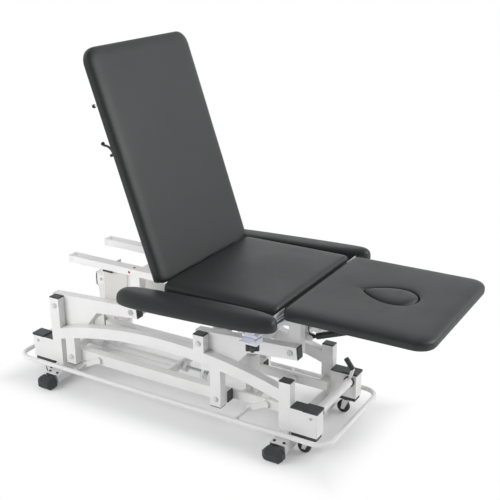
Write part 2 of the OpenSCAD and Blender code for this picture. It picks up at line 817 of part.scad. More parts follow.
module hinge_tube() color(steel)
    rod_y(head_pivot_x, head_pivot_z, hinge_tube_d, -hinge_tube_half, hinge_tube_half);

// Back section, in a frame whose X runs down the back to its pivot when it lies flat
back_surface = seat_top - back_pivot_z;
back_under = back_surface - back_cushion_t;
back_board_under = back_under - hinge_board_t;
frame_bar_h = 20;
frame_bar_w = 25;
back_bar_in = back_lug_out;
back_bar_top = back_board_under;
back_bar_end_in = 65;
back_cross_play = 42;
back_bar_end = back_l - back_bar_end_in;
back_cross_t = [rail_left + back_pivot_x + back_cross_play, back_bar_end - frame_bar_w / 2];
back_lug_l = 60;
spring_pin_t = 160;
spring_pin_n = -50;
strap_w = 60;
strap_t = 2;

module on_back() translate([back_pivot_x, 0, back_pivot_z]) rotate([0, back_angle, 0]) children();

module back_lug() difference() {
    union() {
        circle(r = back_lug_r);
        translate([-back_lug_r, back_bar_top - frame_bar_h])
            square([2 * back_lug_r, frame_bar_h - back_bar_top]);
        translate([-back_lug_l, back_bar_top - frame_bar_h]) square([back_lug_l, frame_bar_h]);
    }
    circle(d = lug_pin_d + 2 * pin_play);
}

module back_frame() color(white) on_back() {
    both_sides() {
        plate_y(-back_lug_out, lug_t) back_lug();
        box_tube_x(-back_bar_end, -back_lug_r, -back_bar_in - frame_bar_w, -back_bar_in,
            back_bar_top - frame_bar_h, back_bar_top, tube_wall);
    }
    for (t = back_cross_t) box_tube_y(-t - frame_bar_w / 2, -t + frame_bar_w / 2, -back_bar_in, back_bar_in,
        back_bar_top - frame_bar_h, back_bar_top, tube_wall);
    box(-spring_pin_t - strap_w / 2, -spring_pin_t + strap_w / 2, -back_bar_in, back_bar_in,
        back_bar_top - strap_t, back_bar_top);
    cheek_pair(spring_y) {
        translate([-spring_pin_t, spring_pin_n]) circle(r = cheek_r);
        translate([-spring_pin_t - cheek_r, spring_pin_n])
            square([2 * cheek_r, back_bar_top - spring_pin_n]);
    }
}

module back_board() color(black) on_back() {
    board(-back_start - back_l + board_end_in, -back_start, back_board_under, back_under);
    for (k = [-1, 1]) translate([0, release_y + k * (release_block / 2 + side_play + release_cheek_t / 2), 0])
        plate_y(-release_cheek_t / 2, release_cheek_t) {
            translate([-release_t, release_n]) circle(d = release_block / 2);
            translate([-release_t - release_block / 4, release_n]) square([release_block / 2, release_drop]);
        }
    translate([-release_t, release_y, release_n]) rotate([90, 0, 0])
        cylinder(d = release_pin_d, h = release_block + 2 * (side_play + release_cheek_t), center = true);
}

module back_cushion() color(vinyl) on_back() translate([0, 0, back_under])
    cushion(-back_start - back_l, -back_start, cushion_w / 2, back_cushion_t, crown,
        cushion_corner_r, foot_inset);

// Release lever under the back's near edge
release_t = 540;
release_y = -275;
release_drop = 24;
release_block = 22;
release_arc_r = 38;
release_d = 9;
release_sweep = 80;
release_pin_d = 6;
release_cheek_t = 3;
release_n = back_board_under - release_drop;

module release_lever() color(black) on_back() translate([-release_t, release_y, release_n]) {
    difference() {
        rotate([90, 0, 0]) cylinder(d = release_block / 2, h = release_block, center = true);
        rotate([90, 0, 0])
            cylinder(d = release_pin_d + 2 * pin_play, h = release_block + 2 * cut, center = true);
    }
    translate([-release_block / 4, 0, -release_arc_r]) rotate([90, 0, 0]) rotate([0, 0, 90])
        rotate_extrude(angle = release_sweep) translate([release_arc_r, 0]) circle(d = release_d);
}

// Gas springs: a tube with an eye at its foot and a rod with an eye at its tip
spring_d = 26;
spring_rod_d = 10;
eye_d = 18;
eye_t = 14;
neck_l = 26;
rod_play = 0.05;

module eye(bore) difference() {
    rotate([90, 0, 0]) cylinder(d = eye_d, h = eye_t, center = true);
    rotate([90, 0, 0]) cylinder(d = bore, h = eye_t + 2 * cut, center = true);
}

module spring_tube(l) difference() {
    union() {
        rotate([90, 0, 0]) cylinder(d = eye_d, h = eye_t, center = true);
        rotate([0, 90, 0]) cylinder(d = eye_t, h = neck_l);
        translate([neck_l, 0, 0]) rotate([0, 90, 0]) cylinder(d = spring_d, h = l - neck_l);
    }
    translate([neck_l - eye_t / 2, 0, 0]) rotate([0, 90, 0]) cylinder(d = spring_rod_d + 2 * rod_play, h = l);
    rotate([90, 0, 0]) cylinder(d = anchor_pin_d + 2 * pin_play, h = spring_d, center = true);
}

module spring_rod(tip, l) translate([tip, 0, 0]) {
    eye(anchor_pin_d);
    translate([-l, 0, 0]) rotate([0, 90, 0]) cylinder(d = spring_rod_d, h = l - eye_d / 2 + cut);
}

// Where the back spring's rod ends: on the back frame's cheeks
spring_pin = [
    back_pivot_x - spring_pin_t * cos(back_angle) + spring_pin_n * sin(back_angle),
    back_pivot_z + spring_pin_t * sin(back_angle) + spring_pin_n * cos(back_angle)
];
back_spring = spring_pin - back_anchor;
back_spring_l = norm(back_spring);
back_spring_angle = atan2(back_spring[1], back_spring[0]);
back_tube_l = 112;
back_rod_l = 128;

module on_back_spring() translate([back_anchor[0], spring_y, back_anchor[1]])
    rotate([0, -back_spring_angle, 0]) children();

module back_spring_tube() color(black) on_back_spring() spring_tube(back_tube_l);
module back_spring_rod() color(steel) on_back_spring() spring_rod(back_spring_l, back_rod_l);

// Head section
head_under = head_top - head_cushion_t;
head_board_under = head_under - hinge_board_t;
head_bar_h = 25;
head_bar_left = 640;
head_bar_end_in = 90;
head_bar_right = head_right - head_bar_end_in;
head_lug_t = 8;
head_lug_in = rail_in - lug_t - side_play - head_lug_t;
head_pin_drop = 30;
head_pin_x = 900;
head_pin = [head_pin_x, head_board_under - head_bar_h - head_pin_drop];
head_cross_x = [head_pin[0] - head_bar_h / 2, head_bar_right - head_bar_h];

tear_steps = 40;

function teardrop(l, w, inset) = [for (i = [0 : tear_steps - 1]) let (a = 360 * i / tear_steps) [
    l / 2 - (l / 2 - inset) * cos(a),
    (w / 2 - inset) * sin(a) * pow(abs(sin(a / 2)), face_taper_share) * face_fill_share
]];
face_taper_share = 0.7;
face_fill_share = 1.22;

head_lug_back = 6;
head_lug_front = 3;
head_lug_l = 45;

module head_lug() {
    translate([head_pivot_x, head_pivot_z]) circle(r = head_lug_r);
    polygon([
        [head_pivot_x - head_lug_back, head_pivot_z], [head_pivot_x + head_lug_r, head_pivot_z],
        [head_left - head_lug_front, head_board_under], [head_bar_left + head_lug_l, head_board_under],
        [head_bar_left + head_lug_l, head_board_under - head_bar_h],
        [head_pivot_x + head_lug_r / 2, head_board_under - head_bar_h]
    ]);
}

module head_frame() color(white) {
    both_sides() {
        difference() {
            plate_y(-head_lug_in - head_lug_t, head_lug_t) head_lug();
            rod_y(head_pivot_x, head_pivot_z, hinge_tube_d + 2 * pin_play, -rail_in, 0);
        }
        box_tube_x(head_bar_left, head_bar_right, -head_lug_in, -head_lug_in + head_bar_h,
            head_board_under - head_bar_h, head_board_under, tube_wall);
    }
    for (x = head_cross_x) box_tube_y(x, x + head_bar_h, -head_lug_in + head_bar_h, head_lug_in - head_bar_h,
        head_board_under - head_bar_h, head_board_under, tube_wall);
    cheek_pair(strut_y) {
        translate(head_pin) circle(r = cheek_r);
        translate(head_pin - [cheek_r, 0]) square([2 * cheek_r, head_pin_drop]);
    }
}

ledge = 12;

module head_board() color(black) difference() {
    board(head_left, head_right - board_end_in, head_board_under, head_under);
    translate([face_x, 0, head_board_under - cut]) linear_extrude(hinge_board_t + 2 * cut)
        polygon(teardrop(face_l, face_w, ledge));
}

module head_cushion() color(vinyl) difference() {
    translate([0, 0, head_under])
        cushion(head_left, head_right, cushion_w / 2, head_cushion_t, crown, cushion_corner_r,
            foot_inset);
    translate([face_x, 0, head_under - cut]) linear_extrude(head_cushion_t + 2 * cut)
        polygon(teardrop(face_l, face_w, 0));
}

plug_levels_share = [0, 0.1, 0.75, 0.9, 1, 1.06, 1.1];
plug_insets_share = [0.5, 0, 0, 0.5, 1.4, 3, 5];
plug_height_share = 0.94;
plug_edge = 7;

function plug_ring(i) = [for (p = teardrop(face_l, face_w, face_gap + plug_edge * plug_insets_share[i]))
    [p[0], p[1], head_cushion_t * plug_height_share * plug_levels_share[i]]];

module face_plug() color(vinyl) translate([face_x, 0, head_under])
    loft([for (i = [0 : len(plug_levels_share) - 1]) let (ring = plug_ring(i))
        [for (k = [1 : tear_steps]) ring[tear_steps - k]]]);

head_strut = head_pin - head_anchor;
head_strut_l = norm(head_strut);
head_strut_angle = atan2(head_strut[1], head_strut[0]);
head_tube_l = 200;
head_rod_l = 214;

module on_head_strut() translate([head_anchor[0], strut_y, head_anchor[1]])
    rotate([0, -head_strut_angle, 0]) children();

module head_strut_tube() color(black) on_head_strut() spring_tube(head_tube_l);
module head_strut_rod() color(black) on_head_strut() spring_rod(head_strut_l, head_rod_l);

// Armrests: a flat bracket from each rail, a clamp that slides on it, and a pad on the clamp
bracket_w = 40;
bracket_t = 6;
bracket_drop = 5;
bracket_z = rail_bottom - bracket_drop;
bracket_root_x = 566;
bracket_root_h = 24;
bracket_end = 446;
clamp_l = 60;
clamp_w = 46;
clamp_bottom = 532;
clamp_top = 574;
clamp_play = 0.3;
pad_plate_t = 4;
pad_plate_l = 420;
pad_plate_w = 70;
pad_plate_sink = 1;
pad_edge = 14;
pad_crown = 8;

module armrest_brackets() color(lilac) both_sides() {
    translate([0, 0, bracket_z]) linear_extrude(bracket_t) polygon([
        [bracket_root_x - bracket_w / 2, -rail_half_w], [bracket_root_x + bracket_w / 2, -rail_half_w],
        [arm_clamp_x + bracket_w / 2, -arm_clamp_y + clamp_w],
        [arm_clamp_x + bracket_w / 2, -bracket_end],
        [arm_clamp_x - bracket_w / 2, -bracket_end],
        [arm_clamp_x - bracket_w / 2, -arm_clamp_y + clamp_w]
    ]);
    box(bracket_root_x - bracket_w / 2, bracket_root_x + bracket_w / 2, -rail_half_w - bracket_t,
        -rail_half_w, bracket_z, bracket_z + bracket_root_h);
}

module armrest() {
    color(lilac) {
        difference() {
            box(arm_clamp_x - clamp_l / 2, arm_clamp_x + clamp_l / 2, -arm_clamp_y - clamp_w / 2,
                -arm_clamp_y + clamp_w / 2, clamp_bottom, clamp_top);
            box(arm_clamp_x - bracket_w / 2 - clamp_play, arm_clamp_x + bracket_w / 2 + clamp_play,
                -arm_clamp_y - clamp_w, -arm_clamp_y + clamp_w, bracket_z - clamp_play,
                bracket_z + bracket_t + clamp_play);
            translate([arm_clamp_x, -arm_clamp_y, clamp_bottom - cut])
                cylinder(d = knob_stem_d + 2 * pin_play, h = bracket_z - clamp_bottom + cut);
        }
        box(arm_clamp_x - bracket_w / 2, arm_clamp_x + bracket_w / 2, -arm_clamp_y - bracket_w / 2,
            -arm_clamp_y + bracket_w / 2, clamp_top, arm_pad_bottom - pad_plate_t / 2);
        on_armrest() box(arm_clamp_x + clamp_l - pad_plate_l, arm_clamp_x + clamp_l, -pad_plate_w / 2,
            pad_plate_w / 2, -pad_plate_t, pad_plate_sink);
    }
    color(vinyl) on_armrest()
        cushion(arm_pad_left, arm_pad_right, arm_pad_w / 2, arm_pad_t, pad_crown, pad_corner_r, pad_edge);
}

arm_pad_mid = arm_pad_in + arm_pad_w / 2;
pad_corner_r = arm_pad_w / 2 - pad_plate_sink;

// The pad and its plate lean about the clamp, in a frame whose Z is zero at the pad's underside
module on_armrest() translate([arm_clamp_x, -arm_pad_mid, arm_pad_bottom]) rotate([0, -arm_tilt, 0])
    translate([-arm_clamp_x, 0, 0]) children();

module armrest_near() armrest();
module armrest_far() mirror([0, 1, 0]) armrest();

knob_d = 40;
knob_lobe_d = 15;
knob_lobes = 6;
knob_h = 20;
knob_stem_d = 12;
knob_gap = 4;
knob_stem_h = bracket_z - clamp_bottom + knob_gap;

module knob() translate([arm_clamp_x, -arm_clamp_y, bracket_z - clamp_play - seat_gap]) mirror([0, 0, 1]) {
    cylinder(d = knob_stem_d, h = knob_stem_h);
    translate([0, 0, knob_stem_h]) {
        cylinder(d = knob_d, h = knob_h);
        for (i = [0 : knob_lobes - 1]) rotate([0, 0, 360 * i / knob_lobes])
            translate([knob_d / 2, 0, 0]) cylinder(d = knob_lobe_d, h = knob_h);
    }
}

module knob_near() color(black) knob();
module knob_far() color(black) mirror([0, 1, 0]) knob();

// Foot bar linkage: two rocker shafts whose levers carry the bar level
lever_t = 6;
lever_r = 12;
link_d = 12;
cap_t = 4;
cap_over = 3;
rocker_drop = rocker_z - bar_z;
rocker_tip = [-rocker_reach, -rocker_drop];

module lever_profile() difference() {
    union() {
        circle(d = rocker_d + 2 * cap_over);
        bridge([0, 0], rocker_tip, lever_r);
    }
}

module rocker(x, lever_y) translate([x, 0, rocker_z]) {
    both_sides() {
        color(white) plate_y(-lever_y - lever_t, lever_t) lever_profile();
        color(grey)
            rod_y(rocker_tip[0], rocker_tip[1], link_d, -bar_half_w + bar_d / 2 + side_play, -lever_y);
        color(black) rod_y(0, 0, rocker_d + cap_over, -lever_y - lever_t - cap_t, -lever_y - lever_t);
    }
}

// The right shaft runs across between the sill bars; the left one is a stub in each tie beam
collar_t = 6;

module rocker_right() {
    rocker(rocker_right_x, sill_out + side_play);
    color(grey) rod_y(rocker_right_x, rocker_z, rocker_d, -sill_out - side_play, sill_out + side_play);
}

module rocker_left() {
    rocker(rocker_left_x, frame_in + side_play);
    color(grey) both_sides() {
        rod_y(rocker_left_x, rocker_z, rocker_d, -frame_in - side_play, -sill_out + side_play);
        rod_y(rocker_left_x, rocker_z, rocker_d + 2 * collar_t, -sill_out + side_play,
            -sill_out + side_play + collar_t);
    }
}

lug_hub_d = 20;
lug_hub_l = 8;

bar_wall = 2;

module bar_loop(d) translate([0, 0, bar_z]) {
    for (sx = [-1, 1], sy = [-1, 1]) mirror([sx > 0 ? 0 : 1, 0, 0]) mirror([0, sy > 0 ? 0 : 1, 0])
        translate([bar_half_l - bar_corner_r, bar_half_w - bar_corner_r, 0])
            rotate_extrude(angle = 90) translate([bar_corner_r, 0]) circle(d = d);
    for (sy = [-1, 1]) translate([-bar_half_l + bar_corner_r, sy * bar_half_w, 0]) rotate([0, 90, 0])
        cylinder(d = d, h = 2 * (bar_half_l - bar_corner_r));
    for (sx = [-1, 1]) translate([sx * bar_half_l, -bar_half_w + bar_corner_r, 0]) rotate([-90, 0, 0])
        cylinder(d = d, h = 2 * (bar_half_w - bar_corner_r));
}

module foot_bar() {
    color(white) difference() {
        bar_loop(bar_d);
        bar_loop(bar_d - 2 * bar_wall);
    }
    color(black) both_sides() for (x = [rocker_right_x, rocker_left_x]) difference() {
        rod_y(x - rocker_reach, bar_z, lug_hub_d, -bar_half_w + bar_d / 2 - bar_wall,
            -bar_half_w + bar_d / 2 + lug_hub_l);
        rod_y(x - rocker_reach, bar_z, link_d + 2 * pin_play, -bar_half_w + bar_d / 2,
            -bar_half_w + bar_d + lug_hub_l);
    }
}

// Wheel lift: a tube between the boxes, stub shafts into them, cams and a grip lever
finger_d = 24;
finger_l = 20;
finger_w = 14;
flare_t = 6;
flare_top = 40;
flare_bottom = 46;
flare_drop = 62;
lift_lever_d = 12;
grip_d = 20;
lever_knee = [16, 60];
lever_tip = [-15, 102];
stub_end = 2;
lever_y = box_in - side_play - flare_t - lift_lever_d / 2;

module flare() {
    circle(d = flare_top);
    polygon([
        [-flare_top / 2, 0], [flare_top / 2, 0],
        [flare_bottom / 2, -flare_drop], [-flare_bottom / 2, -flare_drop]
    ]);
}

module lift_shaft() translate([lift_shaft_x, 0, lift_shaft_z]) {
    color(white) rod_y(0, 0, lift_tube_d, -box_in + side_play, box_in - side_play);
    both_sides() {
        color(grey) plate_y(-box_in + side_play, flare_t) flare();
        color(grey) rod_y(0, 0, stub_d, -frame_half_w - stub_end, -box_in + 2 * side_play);
        color(grey) plate_y(-box_mid_y - finger_w / 2, finger_w) bridge([0, 0], [-finger_l, 0], finger_d / 2);
    }
}

module bar_xz(a, b, d) translate([a[0], 0, a[1]])
    rotate([0, atan2(b[0] - a[0], b[1] - a[1]), 0]) cylinder(d = d, h = norm(b - a));

module lift_shaft_right() {
    lift_shaft();
    translate([lift_shaft_x, lever_y, lift_shaft_z]) {
        color(grey) plate_y(-lift_lever_d / 2, lift_lever_d) bridge([0, 0], lever_knee, lift_lever_d / 2);
        color(black) bar_xz(lever_knee, lever_tip, grip_d);
    }
}

module lift_shaft_left() mirror([1, 0, 0]) lift_shaft();

// Casters: carriers in the boxes, swivel forks below them and the wheels
carrier_play = 1;
caster_head_d = 34;
caster_head_h = 6;
swivel_gap = 0.5;
fork_t = 3;
fork_w = 28;
axle_d = 8;
wheel_z = wheel_clear + wheel_d / 2;
fork_gap = 4;
fork_crown_z = wheel_clear + wheel_d + fork_gap;
fork_crown_h = 8;
carrier_bottom = fork_crown_z + fork_crown_h + swivel_gap + caster_head_h;
carrier_top = lift_shaft_z - finger_d / 2 - seat_gap;
swivel_pin_d = 10;
swivel_pin_l = 24;

module carrier() difference() {
    union() {
        box(box_x0 + box_wall + carrier_play, box_x1 - box_wall - carrier_play,
            -frame_half_w + box_wall + carrier_play, -box_in - box_wall - carrier_play,
            carrier_bottom, carrier_top);
        translate([caster_x, -box_mid_y, carrier_bottom - caster_head_h])
            cylinder(d = caster_head_d, h = caster_head_h);
    }
    translate([caster_x, -box_mid_y, carrier_bottom - caster_head_h - cut])
        cylinder(d = swivel_pin_d + 2 * pin_play, h = swivel_pin_l + cut + side_play);
}

module carriers_right() color(black) both_sides() carrier();
module carriers_left() color(black) mirror([1, 0, 0]) both_sides() carrier();

module caster_fork() {
    translate([0, 0, fork_crown_z]) cylinder(d = caster_head_d, h = fork_crown_h);
    translate([0, 0, fork_crown_z + fork_crown_h - cut])
        cylinder(d = swivel_pin_d, h = swivel_pin_l + swivel_gap);
    both_sides() difference() {
        plate_y(-fork_w / 2, fork_t) polygon([
            [-caster_trail - axle_d, wheel_z - axle_d], [-caster_trail + axle_d, wheel_z - axle_d],
            [caster_trail, fork_crown_z + fork_crown_h / 2], [-caster_trail, fork_crown_z + fork_crown_h / 2]
        ]);
        rod_y(-caster_trail, wheel_z, axle_d, -fork_w, 0);
    }
    rod_y(-caster_trail, wheel_z, axle_d, -fork_w / 2 - side_play, fork_w / 2 + side_play);
}

hub_d = 24;
tyre_round = 4;

module caster_wheel() translate([-caster_trail, 0, wheel_z]) rotate([90, 0, 0]) difference() {
    rotate_extrude() polygon([
        [0, -wheel_w / 2 + tyre_round / 2], [hub_d / 2, -wheel_w / 2 + tyre_round / 2],
        [hub_d / 2, -wheel_w / 2], [wheel_d / 2 - tyre_round, -wheel_w / 2],
        [wheel_d / 2, -wheel_w / 2 + tyre_round], [wheel_d / 2, wheel_w / 2 - tyre_round],
        [wheel_d / 2 - tyre_round, wheel_w / 2], [hub_d / 2, wheel_w / 2],
        [hub_d / 2, wheel_w / 2 - tyre_round / 2], [0, wheel_w / 2 - tyre_round / 2]
    ]);
    cylinder(d = axle_d + 2 * pin_play, h = 2 * wheel_w, center = true);
}

module at_caster(ex, ey) mirror([ex, 0, 0]) mirror([0, ey, 0])
    translate([caster_x, -box_mid_y, 0]) children();

module fork_right_near() color(grey) at_caster(0, 0) caster_fork();
module fork_right_far() color(grey) at_caster(0, 1) caster_fork();
module fork_left_near() color(grey) at_caster(1, 0) caster_fork();
module fork_left_far() color(grey) at_caster(1, 1) caster_fork();
module wheel_right_near() color(black) at_caster(0, 0) caster_wheel();
module wheel_right_far() color(black) at_caster(0, 1) caster_wheel();
module wheel_left_near() color(black) at_caster(1, 0) caster_wheel();
module wheel_left_far() color(black) at_caster(1, 1) caster_wheel();

place() side_frame_near();
place() side_frame_far();
place() frame_plugs();
place() tie_beams();
place() sill_bars();
place() foot_tubes();
place() foot_blocks();
place() foot_screws();
place() corner_boxes();
place() box_covers();
place() base_pins();
place() pivot_covers();
place() jack_barrel();
place() pump_unit();
place() left_arms();
place() left_arm_plugs();
place() left_upper_pins();
place() right_arms();
place() right_arm_plugs();
place() right_upper_pins();
place() jack_rod();
place() seat_rails();
place() left_down_legs();
place() right_down_legs();
place() seat_board();
place() seat_cushion();
place() hinge_tube();
place() armrest_brackets();
place() back_frame();
place() back_board();
place() back_cushion();
place() release_lever();
place() back_spring_tube();
place() back_spring_rod();
place() head_frame();
place() head_board();
place() head_cushion();
place() face_plug();
place() head_strut_tube();
place() head_strut_rod();
place() armrest_near();
place() armrest_far();
place() knob_near();
place() knob_far();
place() rocker_right();
place() rocker_left();
place() foot_bar();
place() lift_shaft_right();
place() lift_shaft_left();
place() carriers_right();
place() carriers_left();
place() fork_right_near();
place() fork_right_far();
place() fork_left_near();
place() fork_left_far();
place() wheel_right_near();
place() wheel_right_far();
place() wheel_left_near();
place() wheel_left_far();
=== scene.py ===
import json
import math

import bmesh
import bpy
from mathutils import Matrix, Vector, noise


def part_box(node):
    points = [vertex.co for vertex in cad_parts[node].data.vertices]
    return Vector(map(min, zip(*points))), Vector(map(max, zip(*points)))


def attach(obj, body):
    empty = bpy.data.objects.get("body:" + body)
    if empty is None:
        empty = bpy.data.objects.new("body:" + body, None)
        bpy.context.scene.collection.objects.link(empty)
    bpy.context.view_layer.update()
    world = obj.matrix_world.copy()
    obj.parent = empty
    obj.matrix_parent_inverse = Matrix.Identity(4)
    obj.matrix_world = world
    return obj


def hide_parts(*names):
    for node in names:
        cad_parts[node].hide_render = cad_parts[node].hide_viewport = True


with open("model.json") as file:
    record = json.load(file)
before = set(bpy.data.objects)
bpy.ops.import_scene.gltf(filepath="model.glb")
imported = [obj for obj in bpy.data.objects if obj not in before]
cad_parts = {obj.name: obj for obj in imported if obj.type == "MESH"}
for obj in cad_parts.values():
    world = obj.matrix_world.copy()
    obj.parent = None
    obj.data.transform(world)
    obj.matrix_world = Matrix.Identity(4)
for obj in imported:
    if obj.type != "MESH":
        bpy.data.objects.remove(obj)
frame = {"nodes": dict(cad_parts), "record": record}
nodes = frame["nodes"]
bodyOf = {n: b for b, names in frame["record"]["behaviour"]["bodies"].items() for n in names}
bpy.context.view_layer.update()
print("frame loaded:", len(nodes), "nodes")

# Camera, as the photograph was taken
camera = {
    "eye": (1.8363, -2.8994, 1.9631),
    "target": (0.1021, 0.0120, 0.7127),
    "roll": -0.0074,
    "lens": 65.6,
}


def aimCamera(c):
    data = bpy.data.cameras.new("camera")
    data.lens = c["lens"]
    data.sensor_width = 36
    obj = bpy.data.objects.new("camera", data)
    bpy.context.scene.collection.objects.link(obj)
    ahead = (Vector(c["target"]) - Vector(c["eye"])).normalized()
    side = ahead.cross(Vector((0, 0, 1))).normalized()
    up = side.cross(ahead)
    cosR, sinR = math.cos(c["roll"]), math.sin(c["roll"])
    right, top = side * cosR + up * sinR, up * cosR - side * sinR
    turn = Matrix((right, top, -ahead)).transposed().to_4x4()
    obj.matrix_world = Matrix.Translation(c["eye"]) @ turn
    bpy.context.scene.camera = obj


aimCamera(camera)


# Shader maths: a socket's value, on which sums and products add Math nodes
class Wire:
    def __init__(self, paint, socket):
        self.paint, self.socket = paint, socket

    def calc(self, operation, *values):
        return self.paint.add("ShaderNodeMath", {"operation": operation}, dict(enumerate(values)))

    def __add__(self, other):
        return self.calc("ADD", self, other)

    def __rsub__(self, other):
        return self.calc("SUBTRACT", other, self)

    def __mul__(self, other):
        return self.calc("MULTIPLY", self, other)

    def step(self, low, high):
        sockets = {"Value": self, "From Min": low, "From Max": high}
        return self.paint.add("ShaderNodeMapRange", {"interpolation_type": "SMOOTHSTEP"}, sockets)

    __radd__, __rmul__ = __add__, __mul__


# adds nodes to the tree of a material or a world
class Paint:
    def __init__(self, owner, **looks):
        self.owner = owner
        owner.use_nodes = True
        self.tree = owner.node_tree
        self.shader = self.tree.nodes.get("Principled BSDF")
        self.give(self.shader, looks)

    def give(self, node, sockets):
        for key, value in sockets.items():
            if isinstance(value, Wire):
                self.tree.links.new(value.socket, node.inputs[key])
            else:
                node.inputs[key].default_value = value

    def add(self, kind, settings=None, sockets=None, out=0):
        node = self.tree.nodes.new(kind)
        for key, value in (settings or {}).items():
            if key == "stops":
                ramp = node.color_ramp
                while len(ramp.elements) < len(value):
                    ramp.elements.new(0.5)
                for element, (place, colour) in zip(ramp.elements, value):
                    element.position, element.color = place, colour
            else:
                setattr(node, key, value)
        self.give(node, sockets or {})
        return Wire(self, node.outputs[out])

    def place(self, scale=(1, 1, 1)):
        at = self.add("ShaderNodeTexCoord", out="Object")
        return self.add("ShaderNodeMapping", None, {"Vector": at, "Scale": scale})

    def noise(self, at, scale, detail=2.0, rough=0.5):
        sockets = {"Vector": at, "Scale": scale, "Detail": detail, "Roughness": rough}
        return self.add("ShaderNodeTexNoise", None, sockets)

    def mix(self, factor, one, two):
        sockets = {0: factor, 6: one, 7: two}
        return self.add("ShaderNodeMix", {"data_type": "RGBA"}, sockets, out=2)

    def bump(self, height, distance, strength=1.0, normal=None):
        sockets = {"Height": height, "Distance": distance, "Strength": strength}
        if normal:
            sockets["Normal"] = normal
        return self.add("ShaderNodeBump", None, sockets)

    def bevel(self, radius, samples=4):
        return self.add("ShaderNodeBevel", {"samples": samples}, {"Radius": radius})

    def finish(self, **looks):
        self.give(self.shader, looks)
        return self.owner


def newPaint(name, **looks):
    return Paint(bpy.data.materials.new(name), **looks)


def rgb(r, g, b):
    return (r, g, b, 1)


def shade(colour, k):
    return rgb(*(min(1, c * k) for c in colour))


# Finishes
powderCoat = {
    "white": (0.82, 0.815, 0.81),
    "lilac": (0.75, 0.77, 0.86),
    "rough": 0.34,
    "edge": 0.0022,
}


def powder(name, colour, rough):
    p = newPaint(name)
    at = p.place()
    cloud = p.noise(at, 5, 3)
    peel = p.noise(at, 420, 2)
    grime = p.noise(at, 38, 4, 0.65).step(0.62, 0.8)
    tint = p.mix(cloud.step(0.3, 0.7), shade(colour, 0.975), shade(colour, 1.02))
    tint = p.mix(grime * 0.12, tint, shade(colour, 0.8))
    return p.finish(**{
        "Base Color": tint,
        "Roughness": rough + 0.10 * peel + 0.08 * grime,
        "Normal": p.bump(peel, 0.00012, 0.5, p.bevel(powderCoat["edge"])),
    })


def grainedVinyl(name, colour):
    p = newPaint(name)
    at = p.place()
    warp = p.noise(at, 60, 2)
    sockets = {"Vector": at, "Scale": 620}
    cells = p.add("ShaderNodeTexVoronoi", {"feature": "DISTANCE_TO_EDGE"}, sockets)
    pores = p.noise(at, 1500, 2)
    grain = cells.step(0.0, 0.35) * (0.7 + 0.5 * warp) + 0.25 * pores
    cloud = p.noise(at, 4, 3).step(0.3, 0.7)
    rub = p.noise(at, 22, 4, 0.6).step(0.55, 0.75)
    tint = p.mix(cloud, shade(colour, 0.93), shade(colour, 1.06))
    tint = p.mix(cells.step(0.0, 0.12), shade(colour, 0.72), tint)
    return p.finish(**{
        "Base Color": tint,
        "Roughness": 0.40 + 0.07 * cloud + 0.05 * rub + 0.05 * grain,
        "Normal": p.bump(grain, 0.00016, 0.55),
    })


def mouldedPlastic(name, colour, rough, edge=0.0012):
    p = newPaint(name)
    at = p.place()
    spark = p.noise(at, 1300, 2)
    cloud = p.noise(at, 14, 3).step(0.35, 0.7)
    scuff = p.noise(at, 55, 5, 0.7).step(0.62, 0.78)
    tint = p.mix(cloud, shade(colour, 0.85), shade(colour, 1.15))
    tint = p.mix(scuff * 0.35, tint, shade(colour, 1.9))
    return p.finish(**{
        "Base Color": tint,
        "Roughness": rough + 0.12 * spark + 0.1 * scuff,
        "Normal": p.bump(spark, 0.00012, 0.6, p.bevel(edge)),
    })


def lacquer(name, colour, rough):
    p = newPaint(name)
    at = p.place((1, 1, 6))
    fibre = p.noise(at, 160, 4, 0.6)
    cloud = p.noise(at, 9, 3)
    return p.finish(**{
        "Base Color": p.mix(cloud.step(0.3, 0.7), shade(colour, 0.8), shade(colour, 1.25)),
        "Roughness": rough + 0.15 * fibre,
        "Normal": p.bump(fibre, 0.0002, 0.5, p.bevel(0.0015)),
    })


def metal(name, colour, rough, stretch=(4, 260, 260), edge=0.0006):
    p = newPaint(name, Metallic=1.0)
    at = p.place(stretch)
    brush = p.noise(at, 3.5, 4, 0.6)
    stain = p.noise(p.place(), 45, 4, 0.6).step(0.5, 0.8)
    tint = p.mix(brush.step(0.3, 0.7), shade(colour, 0.86), shade(colour, 1.08))
    return p.finish(**{
        "Base Color": p.mix(stain * 0.3, tint, shade(colour, 0.7)),
        "Roughness": rough + 0.12 * brush + 0.08 * stain,
        "Normal": p.bump(brush, 0.00008, 0.4, p.bevel(edge)),
    })


def moulded(name, colour, rough):
    p = newPaint(name)
    at = p.place()
    dust = p.noise(at, 90, 4, 0.65).step(0.5, 0.75)
    fine = p.noise(at, 900, 2)
    return p.finish(**{
        "Base Color": p.mix(dust * 0.5, shade(colour, 0.9), shade(colour, 2.2)),
        "Roughness": rough + 0.15 * dust,
        "Normal": p.bump(fine, 0.0001, 0.5, p.bevel(0.001)),
    })


